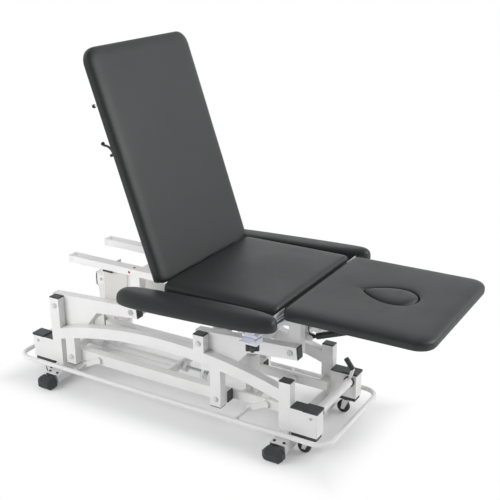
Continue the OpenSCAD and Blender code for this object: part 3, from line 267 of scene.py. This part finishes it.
finishes = {
    "white_paint": powder("white powder coat", powderCoat["white"], powderCoat["rough"]),
    "lilac_paint": powder("lilac powder coat", powderCoat["lilac"], 0.3),
    "black_plastic": mouldedPlastic("black moulded plastic", (0.040, 0.043, 0.045), 0.42),
    "black_board": lacquer("black lacquered board", (0.018, 0.018, 0.019), 0.45),
    "black_paint": powder("black enamel", (0.016, 0.017, 0.019), 0.25),
    "grey_trim": mouldedPlastic("grey moulded plastic", (0.68, 0.68, 0.68), 0.38, 0.0008),
    "bare_steel": metal("brushed steel", (0.56, 0.57, 0.58), 0.28),
    "polished_rod": metal("polished rod", (0.66, 0.67, 0.68), 0.12, (300, 300, 6)),
    "vinyl": grainedVinyl("charcoal vinyl", (0.022, 0.0245, 0.0248)),
    "wheel_rubber": moulded("caster rubber", (0.03, 0.03, 0.032), 0.55),
    "red_ring": mouldedPlastic("red screw ring", (0.62, 0.02, 0.04), 0.4, 0.0004),
    # lighter grey of the hinge strap's ends, painted light where the strip is lit
    "strap_paint": powder("strap ends grey as painted light", (0.52, 0.53, 0.52), 0.3),
    # white paint darkened as painted shade, for the leg plate's flange that stands back in shade
    "shaded_paint": powder("white paint darkened as painted shade", (0.66, 0.645, 0.62), 0.45),
}
print("finishes made:", len(finishes))

slotOf = {s["node"]: s["material_slot"] for s in frame["record"]["subparts"]}
for name, obj in nodes.items():
    obj.data.materials.clear()
    obj.data.materials.append(finishes[slotOf[name]])


# Mesh helpers
def addMesh(name, points, faces, material, smooth=True):
    mesh = bpy.data.meshes.new(name)
    mesh.from_pydata([tuple(p) for p in points], [], faces)
    bm = bmesh.new()
    bm.from_mesh(mesh)
    bmesh.ops.recalc_face_normals(bm, faces=bm.faces)
    bm.to_mesh(mesh)
    bm.free()
    for poly in mesh.polygons:
        poly.use_smooth = smooth
    mesh.materials.append(material)
    obj = bpy.data.objects.new(name, mesh)
    bpy.context.scene.collection.objects.link(obj)
    return obj


# skins a row of rings, capped at both ends or closed to a loop
def bridgeRings(rings, loop=False):
    n = len(rings[0])
    points = [p for ring in rings for p in ring]
    faces = []
    last = len(rings) if loop else len(rings) - 1
    for j in range(last):
        a, b = j * n, ((j + 1) % len(rings)) * n
        faces += [(a + i, a + (i + 1) % n, b + (i + 1) % n, b + i) for i in range(n)]
    if not loop:
        top = last * n
        faces += [tuple(range(n - 1, -1, -1)), tuple(range(top, top + n))]
    return points, faces


# Places: the base's middle, and the frames in which the cushions lie flat, in millimetres
millimetre = 0.001
joints = {j["name"]: j for j in frame["record"]["behaviour"]["joints"]}
footLow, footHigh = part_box("foot_blocks")
middleX = (footLow.x + footHigh.x) / 2 / millimetre
flatScale = Matrix.Scale(millimetre, 4)
backLean = math.radians(-joints["back_tilt"]["range_deg"][0])
backPivot = Matrix.Translation(joints["back_tilt"]["pos_m"])
onBack = backPivot @ Matrix.Rotation(backLean, 4, "Y") @ flatScale


# the node's box along the axes of a place
def localBox(node, place):
    inverse = place.inverted()
    points = [inverse @ v.co for v in nodes[node].data.vertices]
    return [(min(p[k] for p in points), max(p[k] for p in points)) for k in range(3)]


# millimetres from the base's middle, as in a drawing of the table, to the frame's millimetres
def drawing(x, y, z):
    return (x + middleX, y, z)


# and to its metres
def at(x, y, z):
    return Vector(drawing(x, y, z)) * millimetre


sides = ((-1, "Near"), (1, "Far"))


# Upholstery: wide soft shoulders over a firm foot, drawn tight at the lower edge
cushionShape = {
    "rays": 264,
    "tuck": 7,  # how far the foot is drawn in
    "waist": 0.40,  # where the shoulder starts, as a share of the height
    "tight": 0.7,  # crowds the rings to the outside
    "full": 2.8,  # 2 is a quarter ellipse, more keeps the shoulder flat for longer
    "crown": 3.5,
    "leastCorner": 5,
    "sag": 0.7,  # faint unevenness of the top
    "sagSize": 150,
    "shoulderRows": 14,
    "topRows": 15,
}
# ends are the shoulders' widths at low and high x, corners the radii from high x and y round
cushions = {
    "seat_cushion": {
        "name": "seatCushion",
        "place": flatScale,
        "ends": (4, 30),
        "side": 62,
        "corners": (34, 9, 9, 34),
        "short": 0,
    },
    "back_cushion": {
        "name": "backCushion",
        "place": onBack,
        "ends": (64, 8),
        "side": 74,
        "corners": (12, 60, 60, 12),
        "short": 15,  # what it lacks at its lower end
    },
    "head_cushion": {
        "name": "headCushion",
        "place": flatScale,
        "ends": (15, 66),
        "side": 66,
        "corners": (66, 24, 24, 66),
        "short": 0,
    },
}
faceHole = {
    "length": 216,
    "width": 150,
    "taper": 0.7,  # how thin the tip is
    "belly": 1.22,
    "roll": 13,  # radius of the vinyl's turn into the hole
    "gap": 2.4,
    "dimple": 4,
    "spread": 26,
    "steps": 120,
}
faceHole["tip"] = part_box("face_plug")[0].x / millimetre - faceHole["gap"]


def smooth(t):
    t = min(max(t, 0), 1)
    return t * t * (3 - 2 * t)


# how far the outline lies from a middle point in one direction, with its own inset on each side
def reach(box, corners, middle, angle, insets, least):
    x0, x1, halfY = box[0][0] + insets[0], box[0][1] - insets[1], box[1][1] - insets[2]
    step = Vector((math.cos(angle), math.sin(angle)))
    corner = (0 if step.x > 0 else 1) if step.y > 0 else (2 if step.x < 0 else 3)
    radiusX = max(corners[corner] - insets[1 if step.x > 0 else 0], least)
    radiusY = max(corners[corner] - insets[2], least)
    edgeX = x1 - radiusX if step.x > 0 else x0 + radiusX
    low, high = 0.0, 2000.0
    for _ in range(26):
        far = (low + high) / 2
        x, y = middle[0] + step.x * far, middle[1] + step.y * far
        inside = x0 < x < x1 and abs(y) < halfY
        overX = (x - edgeX) * (1 if step.x > 0 else -1) / radiusX
        overY = (abs(y) - halfY + radiusY) / radiusY
        if inside and overX > 0 and overY > 0:
            inside = overX**2 + overY**2 < 1
        low, high = (far, high) if inside else (low, far)
    return middle[0] + step.x * low, middle[1] + step.y * low


# a point of the face opening's outline, drawn in by an inset, from the tip at angle 0
def teardrop(inset, a):
    h = faceHole
    x = h["length"] / 2 - (h["length"] / 2 - inset) * math.cos(a)
    y = (h["width"] / 2 - inset) * math.sin(a) * abs(math.sin(a / 2)) ** h["taper"] * h["belly"]
    return x, y


# the teardrop's point in a direction seen from its middle
def teardropAt(angle, inset):
    h = faceHole
    want = abs(math.atan2(math.sin(angle), math.cos(angle)))
    low, high = 0.0, math.pi
    for _ in range(40):
        a = (low + high) / 2
        x, y = teardrop(inset, a)
        if math.atan2(y, x - h["length"] / 2) > want:
            low = a
        else:
            high = a
    side = 1 if math.sin(angle) >= 0 else -1
    return h["tip"] + x, side * y


def cushionMesh(node):
    s, c = cushionShape, cushions[node]
    box = localBox(node, c["place"])
    box[0] = (box[0][0], box[0][1] - c["short"])
    height = box[2][1] - box[2][0]
    middleOf = [(box[k][0] + box[k][1]) / 2 for k in range(2)]
    half = [(box[k][1] - box[k][0]) / 2 for k in range(2)]
    hole = node == "head_cushion"
    hub = (faceHole["tip"] + faceHole["length"] / 2, 0) if hole else middleOf
    angles = [2 * math.pi * i / s["rays"] for i in range(s["rays"])]
    waist = height * s["waist"]
    brow = height - s["crown"]
    widths = (*c["ends"], c["side"])

    def swell(x, y):
        u, v = (x - middleOf[0]) / half[0], (y - middleOf[1]) / half[1]
        rise = s["crown"] * math.sqrt(max(1 - u * u, 0) * max(1 - v * v, 0))
        uneven = noise.noise(Vector((x / s["sagSize"], y / s["sagSize"], height))) - 0.35
        return rise + s["sag"] * uneven

    def ring(insets, level, lift=0):
        made = []
        for a in angles:
            x, y = reach(box, c["corners"], hub, a, insets, s["leastCorner"])
            made.append((x, y, level + lift * swell(x, y)))
        return made

    tuck = s["tuck"]
    foot = ((tuck + 12, 0), (tuck, 0.4), (tuck * 0.55, 1.6), (tuck * 0.2, 4.5), (0.6, 9), (0, 14))
    rings = [ring([inset] * 3, level) for inset, level in foot]
    for k in range(1, s["shoulderRows"] + 1):
        t = math.radians(90 * k / s["shoulderRows"])
        left = math.cos(t) ** s["tight"]
        rise = (1 - left ** s["full"]) ** (1 / s["full"])
        rings.append(ring([w * (1 - left) for w in widths], waist + (brow - waist) * rise, rise**2))
    edge = rings[-1]
    if not hole:
        for k in range(1, s["topRows"]):
            t = 1 - k / s["topRows"]
            made = []
            for x, y, _ in edge:
                px, py = hub[0] + (x - hub[0]) * t, hub[1] + (y - hub[1]) * t
                made.append((px, py, brow + swell(px, py)))
            rings.append(made)
        return bridgeRings(rings), box
    h = faceHole
    lip = [teardropAt(a, -h["roll"]) for a in angles]

    def dip(gap):
        return h["dimple"] * math.exp(-gap / h["spread"])

    for k in range(1, s["topRows"]):
        t = 1 - (1 - k / (s["topRows"] - 1)) ** 1.5
        made = []
        for (x, y, _), (lx, ly) in zip(edge, lip):
            px, py = x + (lx - x) * t, y + (ly - y) * t
            made.append((px, py, brow + swell(px, py) - dip(math.hypot(px - lx, py - ly))))
        rings.append(made)
    for turn in (18, 36, 54, 72, 90):
        t = math.radians(turn)
        fall = h["dimple"] + h["roll"] * 0.8 * (1 - math.cos(t))
        made = []
        for a in angles:
            x, y = teardropAt(a, -h["roll"] * (1 - math.sin(t)))
            made.append((x, y, brow + swell(x, y) - fall))
        rings.append(made)
    wall = rings[-1]
    rings.append([(x, y, z * 0.4) for x, y, z in wall])
    rings.append([(x, y, 0) for x, y, z in wall])
    return bridgeRings(rings, loop=True), box


# the piece rides with its node; finishes of the scene alone have no slot in the record
def give(piece, node, slot):
    slot in slotOf.values()
    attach(piece, bodyOf[node])
    return piece


def softPiece(name, mesh, place, node):
    points, faces = mesh
    piece = addMesh(name, [place @ Vector(p) for p in points], faces, finishes["vinyl"])
    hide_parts(node)
    return give(piece, node, "vinyl")


for node, c in cushions.items():
    mesh, box = cushionMesh(node)
    place = c["place"] @ Matrix.Translation((0, 0, box[2][0]))
    softPiece(c["name"], mesh, place, node)
headFoot = box[2][0]
print("lying surface upholstered")

# the plug's domed top stands just over the cushion, its edge rolled into the gap: insets, heights
plugRows = (
    (9, 0), (2, 0.6), (0.3, 5), (0, 16), (0, 27), (0.8, 32), (3, 36.2), (7, 40), (13, 43),
    (21, 45.3), (31, 46.8), (43, 47.7), (56, 48.0),
)


def facePlugMesh():
    h = faceHole
    rings = []
    for inset, z in plugRows:
        ring = []
        for i in range(h["steps"]):
            a = 2 * math.pi * i / h["steps"]
            x, y = teardrop(h["gap"] + inset, min(a, 2 * math.pi - a))
            ring.append((h["tip"] + x, y if a <= math.pi else -y, z))
        rings.append(ring)
    return bridgeRings(rings)


plugPlace = flatScale @ Matrix.Translation((0, 0, headFoot))
softPiece("facePlug", facePlugMesh(), plugPlace, "face_plug")

# Armrests: thin-edged pads, broad and nearly flat on top, long ellipses from above
armrest = {
    "tilt": 2,
    "thick": 50,
    "long": (5.4, 3.1),  # how square the outline is at its left and right end
    "wide": 2.7,
    "dome": (2.0, 4.6),  # the outer side slopes down to a thin rim, the inner one stays full
    "swell": 3,  # the padding stands this much over the moulded core
    "edge": 11,  # height of the widest line over the underside
    "under": ((16, 0), (5, 0.5), (2.2, 1.8), (0.6, 4.2)),  # insets and heights below that line
    "reach": 0.93,  # how near the last row comes to the middle
    "crowd": 2.2,  # crowds the rows to the outside
    "plate": (420, 70, 4),
    "steps": 168,
    "rows": 15,
}


def power(value, share):
    return abs(value) ** share * (1 if value >= 0 else -1)


def armrestMesh(a, x0, x1, width, inward):
    halfX, halfY = (x1 - x0) / 2, width / 2
    high = a["thick"] + a["swell"] - a["edge"]
    rows = [(inset, z, 0) for inset, z in a["under"]] + [(0, a["edge"], 0)]
    for k in range(1, a["rows"]):
        inset = halfY * a["reach"] * (k / a["rows"]) ** a["crowd"]
        rows.append((inset, a["edge"], high))
    rings = []
    for inset, z, rise in rows:
        ring = []
        for i in range(a["steps"]):
            t = 2 * math.pi * i / a["steps"]
            x = (halfX - inset) * power(math.cos(t), 2 / a["long"][math.cos(t) > 0])
            y = (halfY - inset) * power(math.sin(t), 2 / a["wide"])
            full = smooth(0.5 + 0.5 * math.sin(t) * inward)
            dome = a["dome"][0] + (a["dome"][1] - a["dome"][0]) * full
            lift = (1 - (1 - inset / halfY) ** dome) ** (1 / dome)
            ring.append(((x0 + x1) / 2 + x, y, z + rise * lift))
        rings.append(ring)
    return bridgeRings(rings)


def bevelledBox(name, low, high, radius, slot, node, segments=3, place=None):
    bm = bmesh.new()
    bmesh.ops.create_cube(bm, size=1)
    for v in bm.verts:
        v.co = Vector([(low[k] + high[k]) / 2 + v.co[k] * (high[k] - low[k]) for k in range(3)])
    edges = bm.edges[:]
    bmesh.ops.bevel(bm, geom=edges, offset=radius, segments=segments, profile=0.5, affect="EDGES")
    if place:
        bmesh.ops.transform(bm, matrix=place, verts=bm.verts)
    mesh = bpy.data.meshes.new(name)
    bm.to_mesh(mesh)
    bm.free()
    mesh.materials.append(finishes[slot])
    obj = bpy.data.objects.new(name, mesh)
    bpy.context.scene.collection.objects.link(obj)
    return give(obj, node, slot)


# the clamp round the bracket and the post to the pad's plate
clamp = {
    "length": 60,
    "width": 46,
    "foot": 532,
    "gap": (555.7, 562.3),
    "top": 574,
    "post": 40,
    "edge": 0.003,
    "postEdge": 0.002,
}


def makeArmrest(node, side, word):
    a, c = armrest, clamp
    turn = joints["knob_" + word.lower() + "_turn"]["pos_m"]
    lean = Matrix.Rotation(math.radians(-a["tilt"]), 4, "Y")
    place = Matrix.Translation((turn[0], 0, 0)) @ lean @ flatScale
    box = localBox(node, place)
    pad = box[2][1] - a["thick"]
    inner, outer = box[1]
    middle = (inner + outer) / 2
    mesh = armrestMesh(a, box[0][0], box[0][1], outer - inner, -side)
    onPad = place @ Matrix.Translation((0, middle, pad))
    softPiece("armrestPad" + word, mesh, onPad, node)
    length, width, thick = a["plate"]
    low = (c["length"] - length, middle - width / 2, pad - thick)
    high = (c["length"], middle + width / 2, pad + 1)
    bevelledBox("armrestPlate" + word, low, high, 1.2, "lilac_paint", node, 2, place)
    x, y = turn[0] / millimetre - middleX, turn[1] / millimetre
    post, length, half = c["post"] / 2, c["length"] / 2, c["width"] / 2

    def steel(name, halfX, halfY, bottom, top, edge):
        low, high = at(x - halfX, y - halfY, bottom), at(x + halfX, y + halfY, top)
        bevelledBox(name + word, low, high, edge, "lilac_paint", node)

    steel("armrestPost", post, post, c["top"] - 1, pad - thick / 2, c["postEdge"])
    steel("clampTop", length, half, c["gap"][1], c["top"], c["edge"])
    steel("clampFoot", length, half, c["foot"], c["gap"][0], c["edge"])


makeArmrest("armrest_near", -1, "Near")
makeArmrest("armrest_far", 1, "Far")
print("armrests made")


# Turned and swept pieces
def along(point, axis):
    turn = Vector((0, 0, 1)).rotation_difference(Vector(axis))
    return Matrix.Translation(point) @ turn.to_matrix().to_4x4()


# a lathe profile of (radius, height) in millimetres about a point and an axis
def turned(name, profile, point, axis, slot, node, steps=32):
    place = along(point, axis) @ flatScale
    least = 0.02  # a closed end keeps a pinhole's radius, so that no ring collapses
    rings = []
    for r, z in profile:
        ring = []
        for i in range(steps):
            a = 2 * math.pi * i / steps
            wide = max(r, least)
            ring.append(place @ Vector((wide * math.cos(a), wide * math.sin(a), z)))
        rings.append(ring)
    points, faces = bridgeRings(rings)
    obj = addMesh(name, points, faces, finishes[slot], False)
    for poly in obj.data.polygons:
        poly.use_smooth = len(poly.vertices) == 4
    obj.modifiers.new("edges", "EDGE_SPLIT").split_angle = math.radians(40)
    return give(obj, node, slot)


# a round bar through points in millimetres, its corners cut a few times to round them
def swept(name, route, radius, slot, node, place=flatScale, cuts=2, steps=14):
    route = [Vector(p) for p in route]
    for _ in range(cuts):
        cut = [route[0]]
        for p, q in zip(route, route[1:]):
            cut += [p.lerp(q, 0.25), p.lerp(q, 0.75)]
        route = cut + [route[-1]]
    rings = []
    normal = None
    for i, p in enumerate(route):
        ahead = (route[min(i + 1, len(route) - 1)] - route[max(i - 1, 0)]).normalized()
        if normal is None:
            normal = ahead.orthogonal().normalized()
        normal = (normal - ahead * normal.dot(ahead)).normalized()
        side = ahead.cross(normal)
        ring = []
        for k in range(steps):
            t = 2 * math.pi * k / steps
            ring.append(place @ (p + (normal * math.cos(t) + side * math.sin(t)) * radius))
        rings.append(ring)
    points, faces = bridgeRings(rings)
    return give(addMesh(name, points, faces, finishes[slot]), node, slot)


# Foot blocks: rubber blocks chamfered all round
footBlock = {"wide": 0.088, "deep": 0.058, "chamfer": 0.016}


def makeFootBlocks(f):
    low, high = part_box("foot_blocks")
    wide, deep = f["wide"], f["deep"]
    for sx, word in ((0, "Left"), (1, "Right")):
        for sy, part in ((0, "Near"), (1, "Far")):
            x = high.x - wide if sx else low.x
            y = high.y - deep if sy else low.y
            corners = (x, y, low.z), (x + wide, y + deep, high.z)
            name = "footBlock" + word + part
            block = bevelledBox(name, *corners, f["chamfer"], "black_plastic", "foot_blocks", 1)
            if sx == sy == 0:
                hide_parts("foot_blocks")


makeFootBlocks(footBlock)

# Upper frame: the plate beside the left legs with its bumper lug and a wedge under the rail, then
# the strip between seat and head; corners as in the drawing, edge radius, finish, node
plates = {
    "legPlate": ((-350, -126, 332), (-344, -8, 561), 1.5, "white_paint", "left_down_legs"),
    # the flange is white paint darkened as painted shade
    "legPlateFlange": ((-344, -126, 340), (-222, -122, 561), 1, "shaded_paint", "left_down_legs"),
    "bumperLug": ((-385, -126, 479), (-350, -118, 526), 2, "white_paint", "left_down_legs"),
    "bumperPad": ((-390, -127, 477), (-385, -114, 524), 2, "black_plastic", "left_down_legs"),
    "railWedge": ((-336, -144, 552), (-288, -128, 560), 2, "black_plastic", "seat_rails"),
}
straps = {
    # one strip in lit and shaded copies: lighter grey ends as painted light, the dark vinyl middle
    # as painted shade in the gap between seat and head
    "hingeStrapNear": ((601, -349, 617), (604, -262, 635), 1, "strap_paint", "hinge_tube"),
    "hingeStrapMiddle": ((601, -262, 617), (604, 262, 635), 1, "vinyl", "hinge_tube"),
    "hingeStrapFar": ((601, 262, 617), (604, 349, 635), 1, "strap_paint", "hinge_tube"),
}


def makePlates(table):
    for name, (low, high, radius, slot, node) in table.items():
        bevelledBox(name, at(*low), at(*high), radius * millimetre, slot, node)


makePlates(plates)

# lathe profiles of the small hardware, radius and height
profiles = {
    "bolt": ((0, 3.4), (3, 3.4), (5.6, 3.0), (6.6, 1.6), (6.8, 0), (0, 0)),
    "ring": ((2.6, 0.6), (2.6, 1.4), (4.6, 1.4), (5.2, 0.8), (5.2, 0), (0, 0)),
    "screw": ((0, 0.9), (1.4, 1.0), (2.3, 0.8), (2.6, 0), (0, 0)),
    "ball": ((0, 8), (3.4, 7.4), (6.2, 5), (7.8, 1.6), (8, -1), (6.8, -4.4), (4, -6.6), (0, -7)),
    "peg": ((0, 34), (3.4, 34), (3.8, 33), (3.8, 0), (0, 0)),
    "dome": ((0, 1.8), (4, 1.7), (8, 1.2), (10.2, 0), (0, 0)),
    "socket": ((0, 0.4), (2.6, 0.4), (2.9, 1.2), (4.4, 1.2), (5.0, 0.8), (5.2, 0), (0, 0)),
    "rib": ((16, -3), (18.6, -2), (19, 0), (18.6, 2), (16, 3), (15.5, 0)),
    "bush": ((18.6, 0), (23, 0), (23.6, 1), (23.6, 5), (22.5, 6), (18.6, 6)),
    "grip": (
        (0, 54), (7.6, 54), (10.2, 52.4), (10.8, 49), (10.8, 34), (10.3, 33), (10.3, 31),
        (10.8, 30), (10.8, 3), (10.3, 0.4), (0, 0),
    ),
    "collar": ((7, 0), (11, 0), (12, 1), (12, 3.4), (11, 4.4), (7, 4.4)),
    "cup": ((0, 0.3), (3, 0.3), (3.4, 1.3), (5.2, 1.3), (6.0, 0.6), (6.1, -1.2), (0, -1.2)),
}
bumperBolt = at(-362, -126, 505)
turned("bumperBolt", profiles["bolt"], bumperBolt, (0, -1, 0), "bare_steel", "left_down_legs")
railScrews = {"Front": ((-195, -143, 575), (0, -1, 0)), "Top": ((-181, -124, 591), (0, 0, 1))}
for name, (point, axis) in railScrews.items():
    for part, slot, steps in (("Ring", "red_ring", 24), ("", "black_paint", 16)):
        profile = profiles["ring" if part else "screw"]
        turned(f"railScrew{part}{name}", profile, at(*point), axis, slot, "seat_rails", steps)
makePlates(straps)
cable = {
    "route": ((603, -72, 556), (604, -70, 500), (601, -66, 462), (610, -65, 444)),
    "radius": 2.6,
}
route = [drawing(*p) for p in cable["route"]]
swept("strutCableRod", route, cable["radius"], "black_plastic", "right_down_legs")

# Back section: ball and spring of the release lever, and a peg by the board's edge, placed on
# the flat back
upward = onBack.to_3x3() @ Vector((0, 0, 1))
back = {"lever": (-590, -275, -70), "peg": (-733, -282, -44), "pegBall": (-733, -282, -48)}
coil = {
    "from": (-533, -275, -34),
    "to": (-486, -275, -26),
    "tail": (10, 0, 10),
    "radius": 4.4,
    "wire": 0.9,
    "turns": 11,
    "steps": 14,
}


def coilRoute(c):
    start, end = Vector(c["from"]), Vector(c["to"])
    across = Vector((0, 1, 0))
    side = (end - start).normalized().cross(across).normalized()
    steps = c["turns"] * c["steps"]
    route = [start]
    for i in range(steps + 1):
        a = 2 * math.pi * i / c["steps"]
        turn = side * math.cos(a) + across * math.sin(a)
        route.append(start.lerp(end, i / steps) + turn * c["radius"])
    return route + [end, end + Vector(c["tail"])]


def ballAt(name, place, node):
    turned(name, profiles["ball"], onBack @ Vector(back[place]), (0, 0, 1), "black_plastic", node)


ballAt("releaseBall", "lever", "release_lever")
swept("releaseSpring", coilRoute(coil), coil["wire"], "bare_steel", "back_board", onBack, 0, 6)
pegFoot = onBack @ Vector(back["peg"])
turned("backPeg", profiles["peg"], pegFoot, upward, "white_paint", "back_board", 20)
ballAt("backPegBall", "pegBall", "back_board")

# Caps over the pivots and screws in the stub shafts, on both sides
pivots = {"places": ((-572, 365), (182, 365), (-496, 137), (258, 137)), "plane": 207}
stubs = {"places": (-686, 686), "height": 172, "plane": 206, "bushPlane": 135}
for side, word in sides:
    for x, z in pivots["places"]:
        name = f"pivotDome{word}_{x + 600}"
        point = at(x, side * pivots["plane"], z)
        turned(name, profiles["dome"], point, (0, side, 0), "grey_trim", "pivot_covers", 28)
    for x in stubs["places"]:
        name = f"stubScrew{word}_{x + 700}"
        point = at(x, side * stubs["plane"], stubs["height"])
        turned(name, profiles["socket"], point, (0, side, 0), "bare_steel", "corner_boxes", 20)

# weld beads round the torsion tubes, slightly wavy
bead = {"wire": 2.4, "steps": 46, "radius": 22, "wave": 0.5, "waves": 15, "plane": 126}
arms = {
    "rise": 5.7,
    "pivot": 365,
    "left": -572,
    "leftTube": (145, -54),
    "right": 182,
    "rightTube": (0, 0),
}


def weldBead(name, point, axis, node):
    b = bead
    turn = along((0, 0, 0), axis)
    route = []
    for i in range(b["steps"] + 1):
        a = 2 * math.pi * i / b["steps"]
        r = b["radius"] + b["wave"] * math.sin(a * b["waves"])
        route.append(Vector(point) + turn @ Vector((r * math.cos(a), r * math.sin(a), 0)))
    swept(name, route, b["wire"], "white_paint", node, flatScale, 0, 8)


# a point of a lift arm from its lower pivot, as the arm stands at rest
def onArm(word, y):
    x, z = arms[word + "Tube"]
    c, s = math.cos(math.radians(arms["rise"])), math.sin(math.radians(arms["rise"]))
    return drawing(arms[word] + x * c - z * s, y, arms["pivot"] + x * s + z * c)


for side, word in sides:
    for arm in ("left", "right"):
        name = f"{arm}TorsionBead{word}"
        weldBead(name, onArm(arm, side * bead["plane"]), (0, 1, 0), arm + "_arms")

# ribs on the jack, bushes and grip of the wheel lift, collars over the knobs
ribs = {"number": 3, "first": -474, "apart": 11, "height": 118}
for k in range(ribs["number"]):
    point = at(ribs["first"] + ribs["apart"] * k, 0, ribs["height"])
    turned(f"jackRib{k + 1}", profiles["rib"], point, (1, 0, 0), "white_paint", "jack_barrel", 40)
for side, word in sides:
    for x, node in ((686, "lift_shaft_right"), (-686, "lift_shaft_left")):
        name = f"liftBush{word}_{x + 700}"
        point = at(x, side * stubs["bushPlane"], stubs["height"])
        turned(name, profiles["bush"], point, (0, side, 0), "black_plastic", node, 36)
knee, lever = at(702, 136, 232), (-31, 0, 42)
turned("liftGrip", profiles["grip"], knee, lever, "black_plastic", "lift_shaft_right", 36)
collar = {"along": 540, "across": 385, "height": 527.6}
for side, word in sides:
    node = "armrest_" + word.lower()
    point = at(collar["along"], side * collar["across"], collar["height"])
    turned("clampCollar" + word, profiles["collar"], point, (0, 0, 1), "lilac_paint", node, 32)


# black cups in the heads of the foot tubes' screws, painted shade in their sockets
def footSockets(apart=0.02):
    heads = []
    for v in nodes["foot_screws"].data.vertices:
        for head in heads:
            if (head[0] - v.co).xy.length < apart:
                head.append(v.co)
                break
        else:
            heads.append([v.co])
    for i, head in enumerate(heads):
        low = [min(p[k] for p in head) for k in range(3)]
        high = [max(p[k] for p in head) for k in range(3)]
        top = Vector(((low[0] + high[0]) / 2, (low[1] + high[1]) / 2, high[2]))
        name = f"footSocket{i + 1}"
        # each black cup is painted shade in a socket
        turned(name, profiles["cup"], top, (0, 0, 1), "black_paint", "foot_screws", 24)


footSockets()
print("details made")

# Floor, backdrop and light
floor = {
    "size": 60,
    "colour": 0.93,
    "half": (0.78, 0.29),  # of the area under the table that keeps its own light and shadow
    "from": -0.06,
    "to": 0.13,
    "lift": 0.12,
}


def layFloor(f):
    h = f["size"]
    corners = [(-h, -h, 0), (h, -h, 0), (h, h, 0), (-h, h, 0)]
    p = newPaint("pale floor", Roughness=0.9)
    obj = addMesh("floor", corners, [(0, 1, 2, 3)], p.owner, False)
    vector = "ShaderNodeVectorMath"
    where = p.add("ShaderNodeTexCoord", out="Object")
    middle = (middleX * millimetre, 0, 0)
    where = p.add(vector, {"operation": "SUBTRACT"}, {0: where, 1: middle})
    where = p.add(vector, {"operation": "ABSOLUTE"}, {0: where})
    past = p.add(vector, {"operation": "SUBTRACT"}, {0: where, 1: (*f["half"], 0)})
    past = p.add(vector, {"operation": "MAXIMUM"}, {0: past, 1: (f["from"], f["from"], 0)})
    pastX = p.add("ShaderNodeSeparateXYZ", None, {0: past})
    pastY = Wire(p, pastX.socket.node.outputs["Y"])
    past = pastX.calc("MAXIMUM", pastX, pastY).step(f["from"], f["to"])
    share = f["lift"] + (1 - f["lift"]) * past
    seen = p.add("ShaderNodeLightPath", out="Is Camera Ray")
    glow = p.add("ShaderNodeEmission", None, {"Color": rgb(1, 1, 1), "Strength": 1.0})
    p.give(p.shader, {"Base Color": rgb(*[f["colour"]] * 3)})
    own = Wire(p, p.shader.outputs[0])
    blend = p.add("ShaderNodeMixShader", None, {0: seen * share, 1: own, 2: glow})
    p.give(p.tree.nodes["Material Output"], {"Surface": blend})


layFloor(floor)

studio = {
    "backdrop": 1.15,  # the white sweep behind the table
    "room": 0.30,  # the dim studio overhead and behind the camera
    "behind": (-0.5, 0.86, 0),
    "sweep": (-0.55, 0.35),
    "ceiling": (0.35, 0.85),
    "colour": rgb(0.985, 0.99, 1),
    "aim": (0.1, 0, 0.5),
    "lamps": {
        "key": {"at": (-1.9, -3.2, 2.0), "size": 2.2, "power": 88, "mirrored": False},
        "fill": {"at": (3.6, 1.2, 2.6), "size": 2.4, "power": 92, "mirrored": True},
        "top": {"at": (-0.2, 0.9, 3.8), "size": 2.2, "power": 10, "mirrored": True},
    },
}


def lightStudio(s):
    world = bpy.data.worlds.new("studio")
    bpy.context.scene.world = world
    p = Paint(world)
    p.tree.nodes.clear()
    aim = p.add("ShaderNodeTexCoord", out="Generated")
    dot = "ShaderNodeVectorMath", {"operation": "DOT_PRODUCT"}
    away = p.add(*dot, {0: aim, 1: s["behind"]}, out="Value")
    rise = p.add(*dot, {0: aim, 1: (0, 0, 1)}, out="Value")
    sweep = away.step(*s["sweep"]) * (1 - rise.step(*s["ceiling"]))
    strength = s["room"] + (s["backdrop"] - s["room"]) * sweep
    light = p.add("ShaderNodeBackground", None, {"Color": s["colour"], "Strength": strength})
    white = p.add("ShaderNodeBackground", None, {"Color": rgb(1, 1, 1), "Strength": 1})
    seen = p.add("ShaderNodeLightPath", out="Is Camera Ray")
    mix = p.add("ShaderNodeMixShader", None, {0: seen, 1: light, 2: white})
    p.give(p.tree.nodes.new("ShaderNodeOutputWorld"), {"Surface": mix})
    for name, lamp in s["lamps"].items():
        data = bpy.data.lights.new(name, "AREA")
        data.size, data.energy = lamp["size"], lamp["power"]
        obj = bpy.data.objects.new(name, data)
        bpy.context.scene.collection.objects.link(obj)
        obj.location = lamp["at"]
        obj.visible_glossy = lamp["mirrored"]
        obj.rotation_euler = (Vector(s["aim"]) - obj.location).to_track_quat("-Z", "Y").to_euler()


lightStudio(studio)
bpy.context.scene.view_settings.view_transform = "Standard"
print("studio lit")
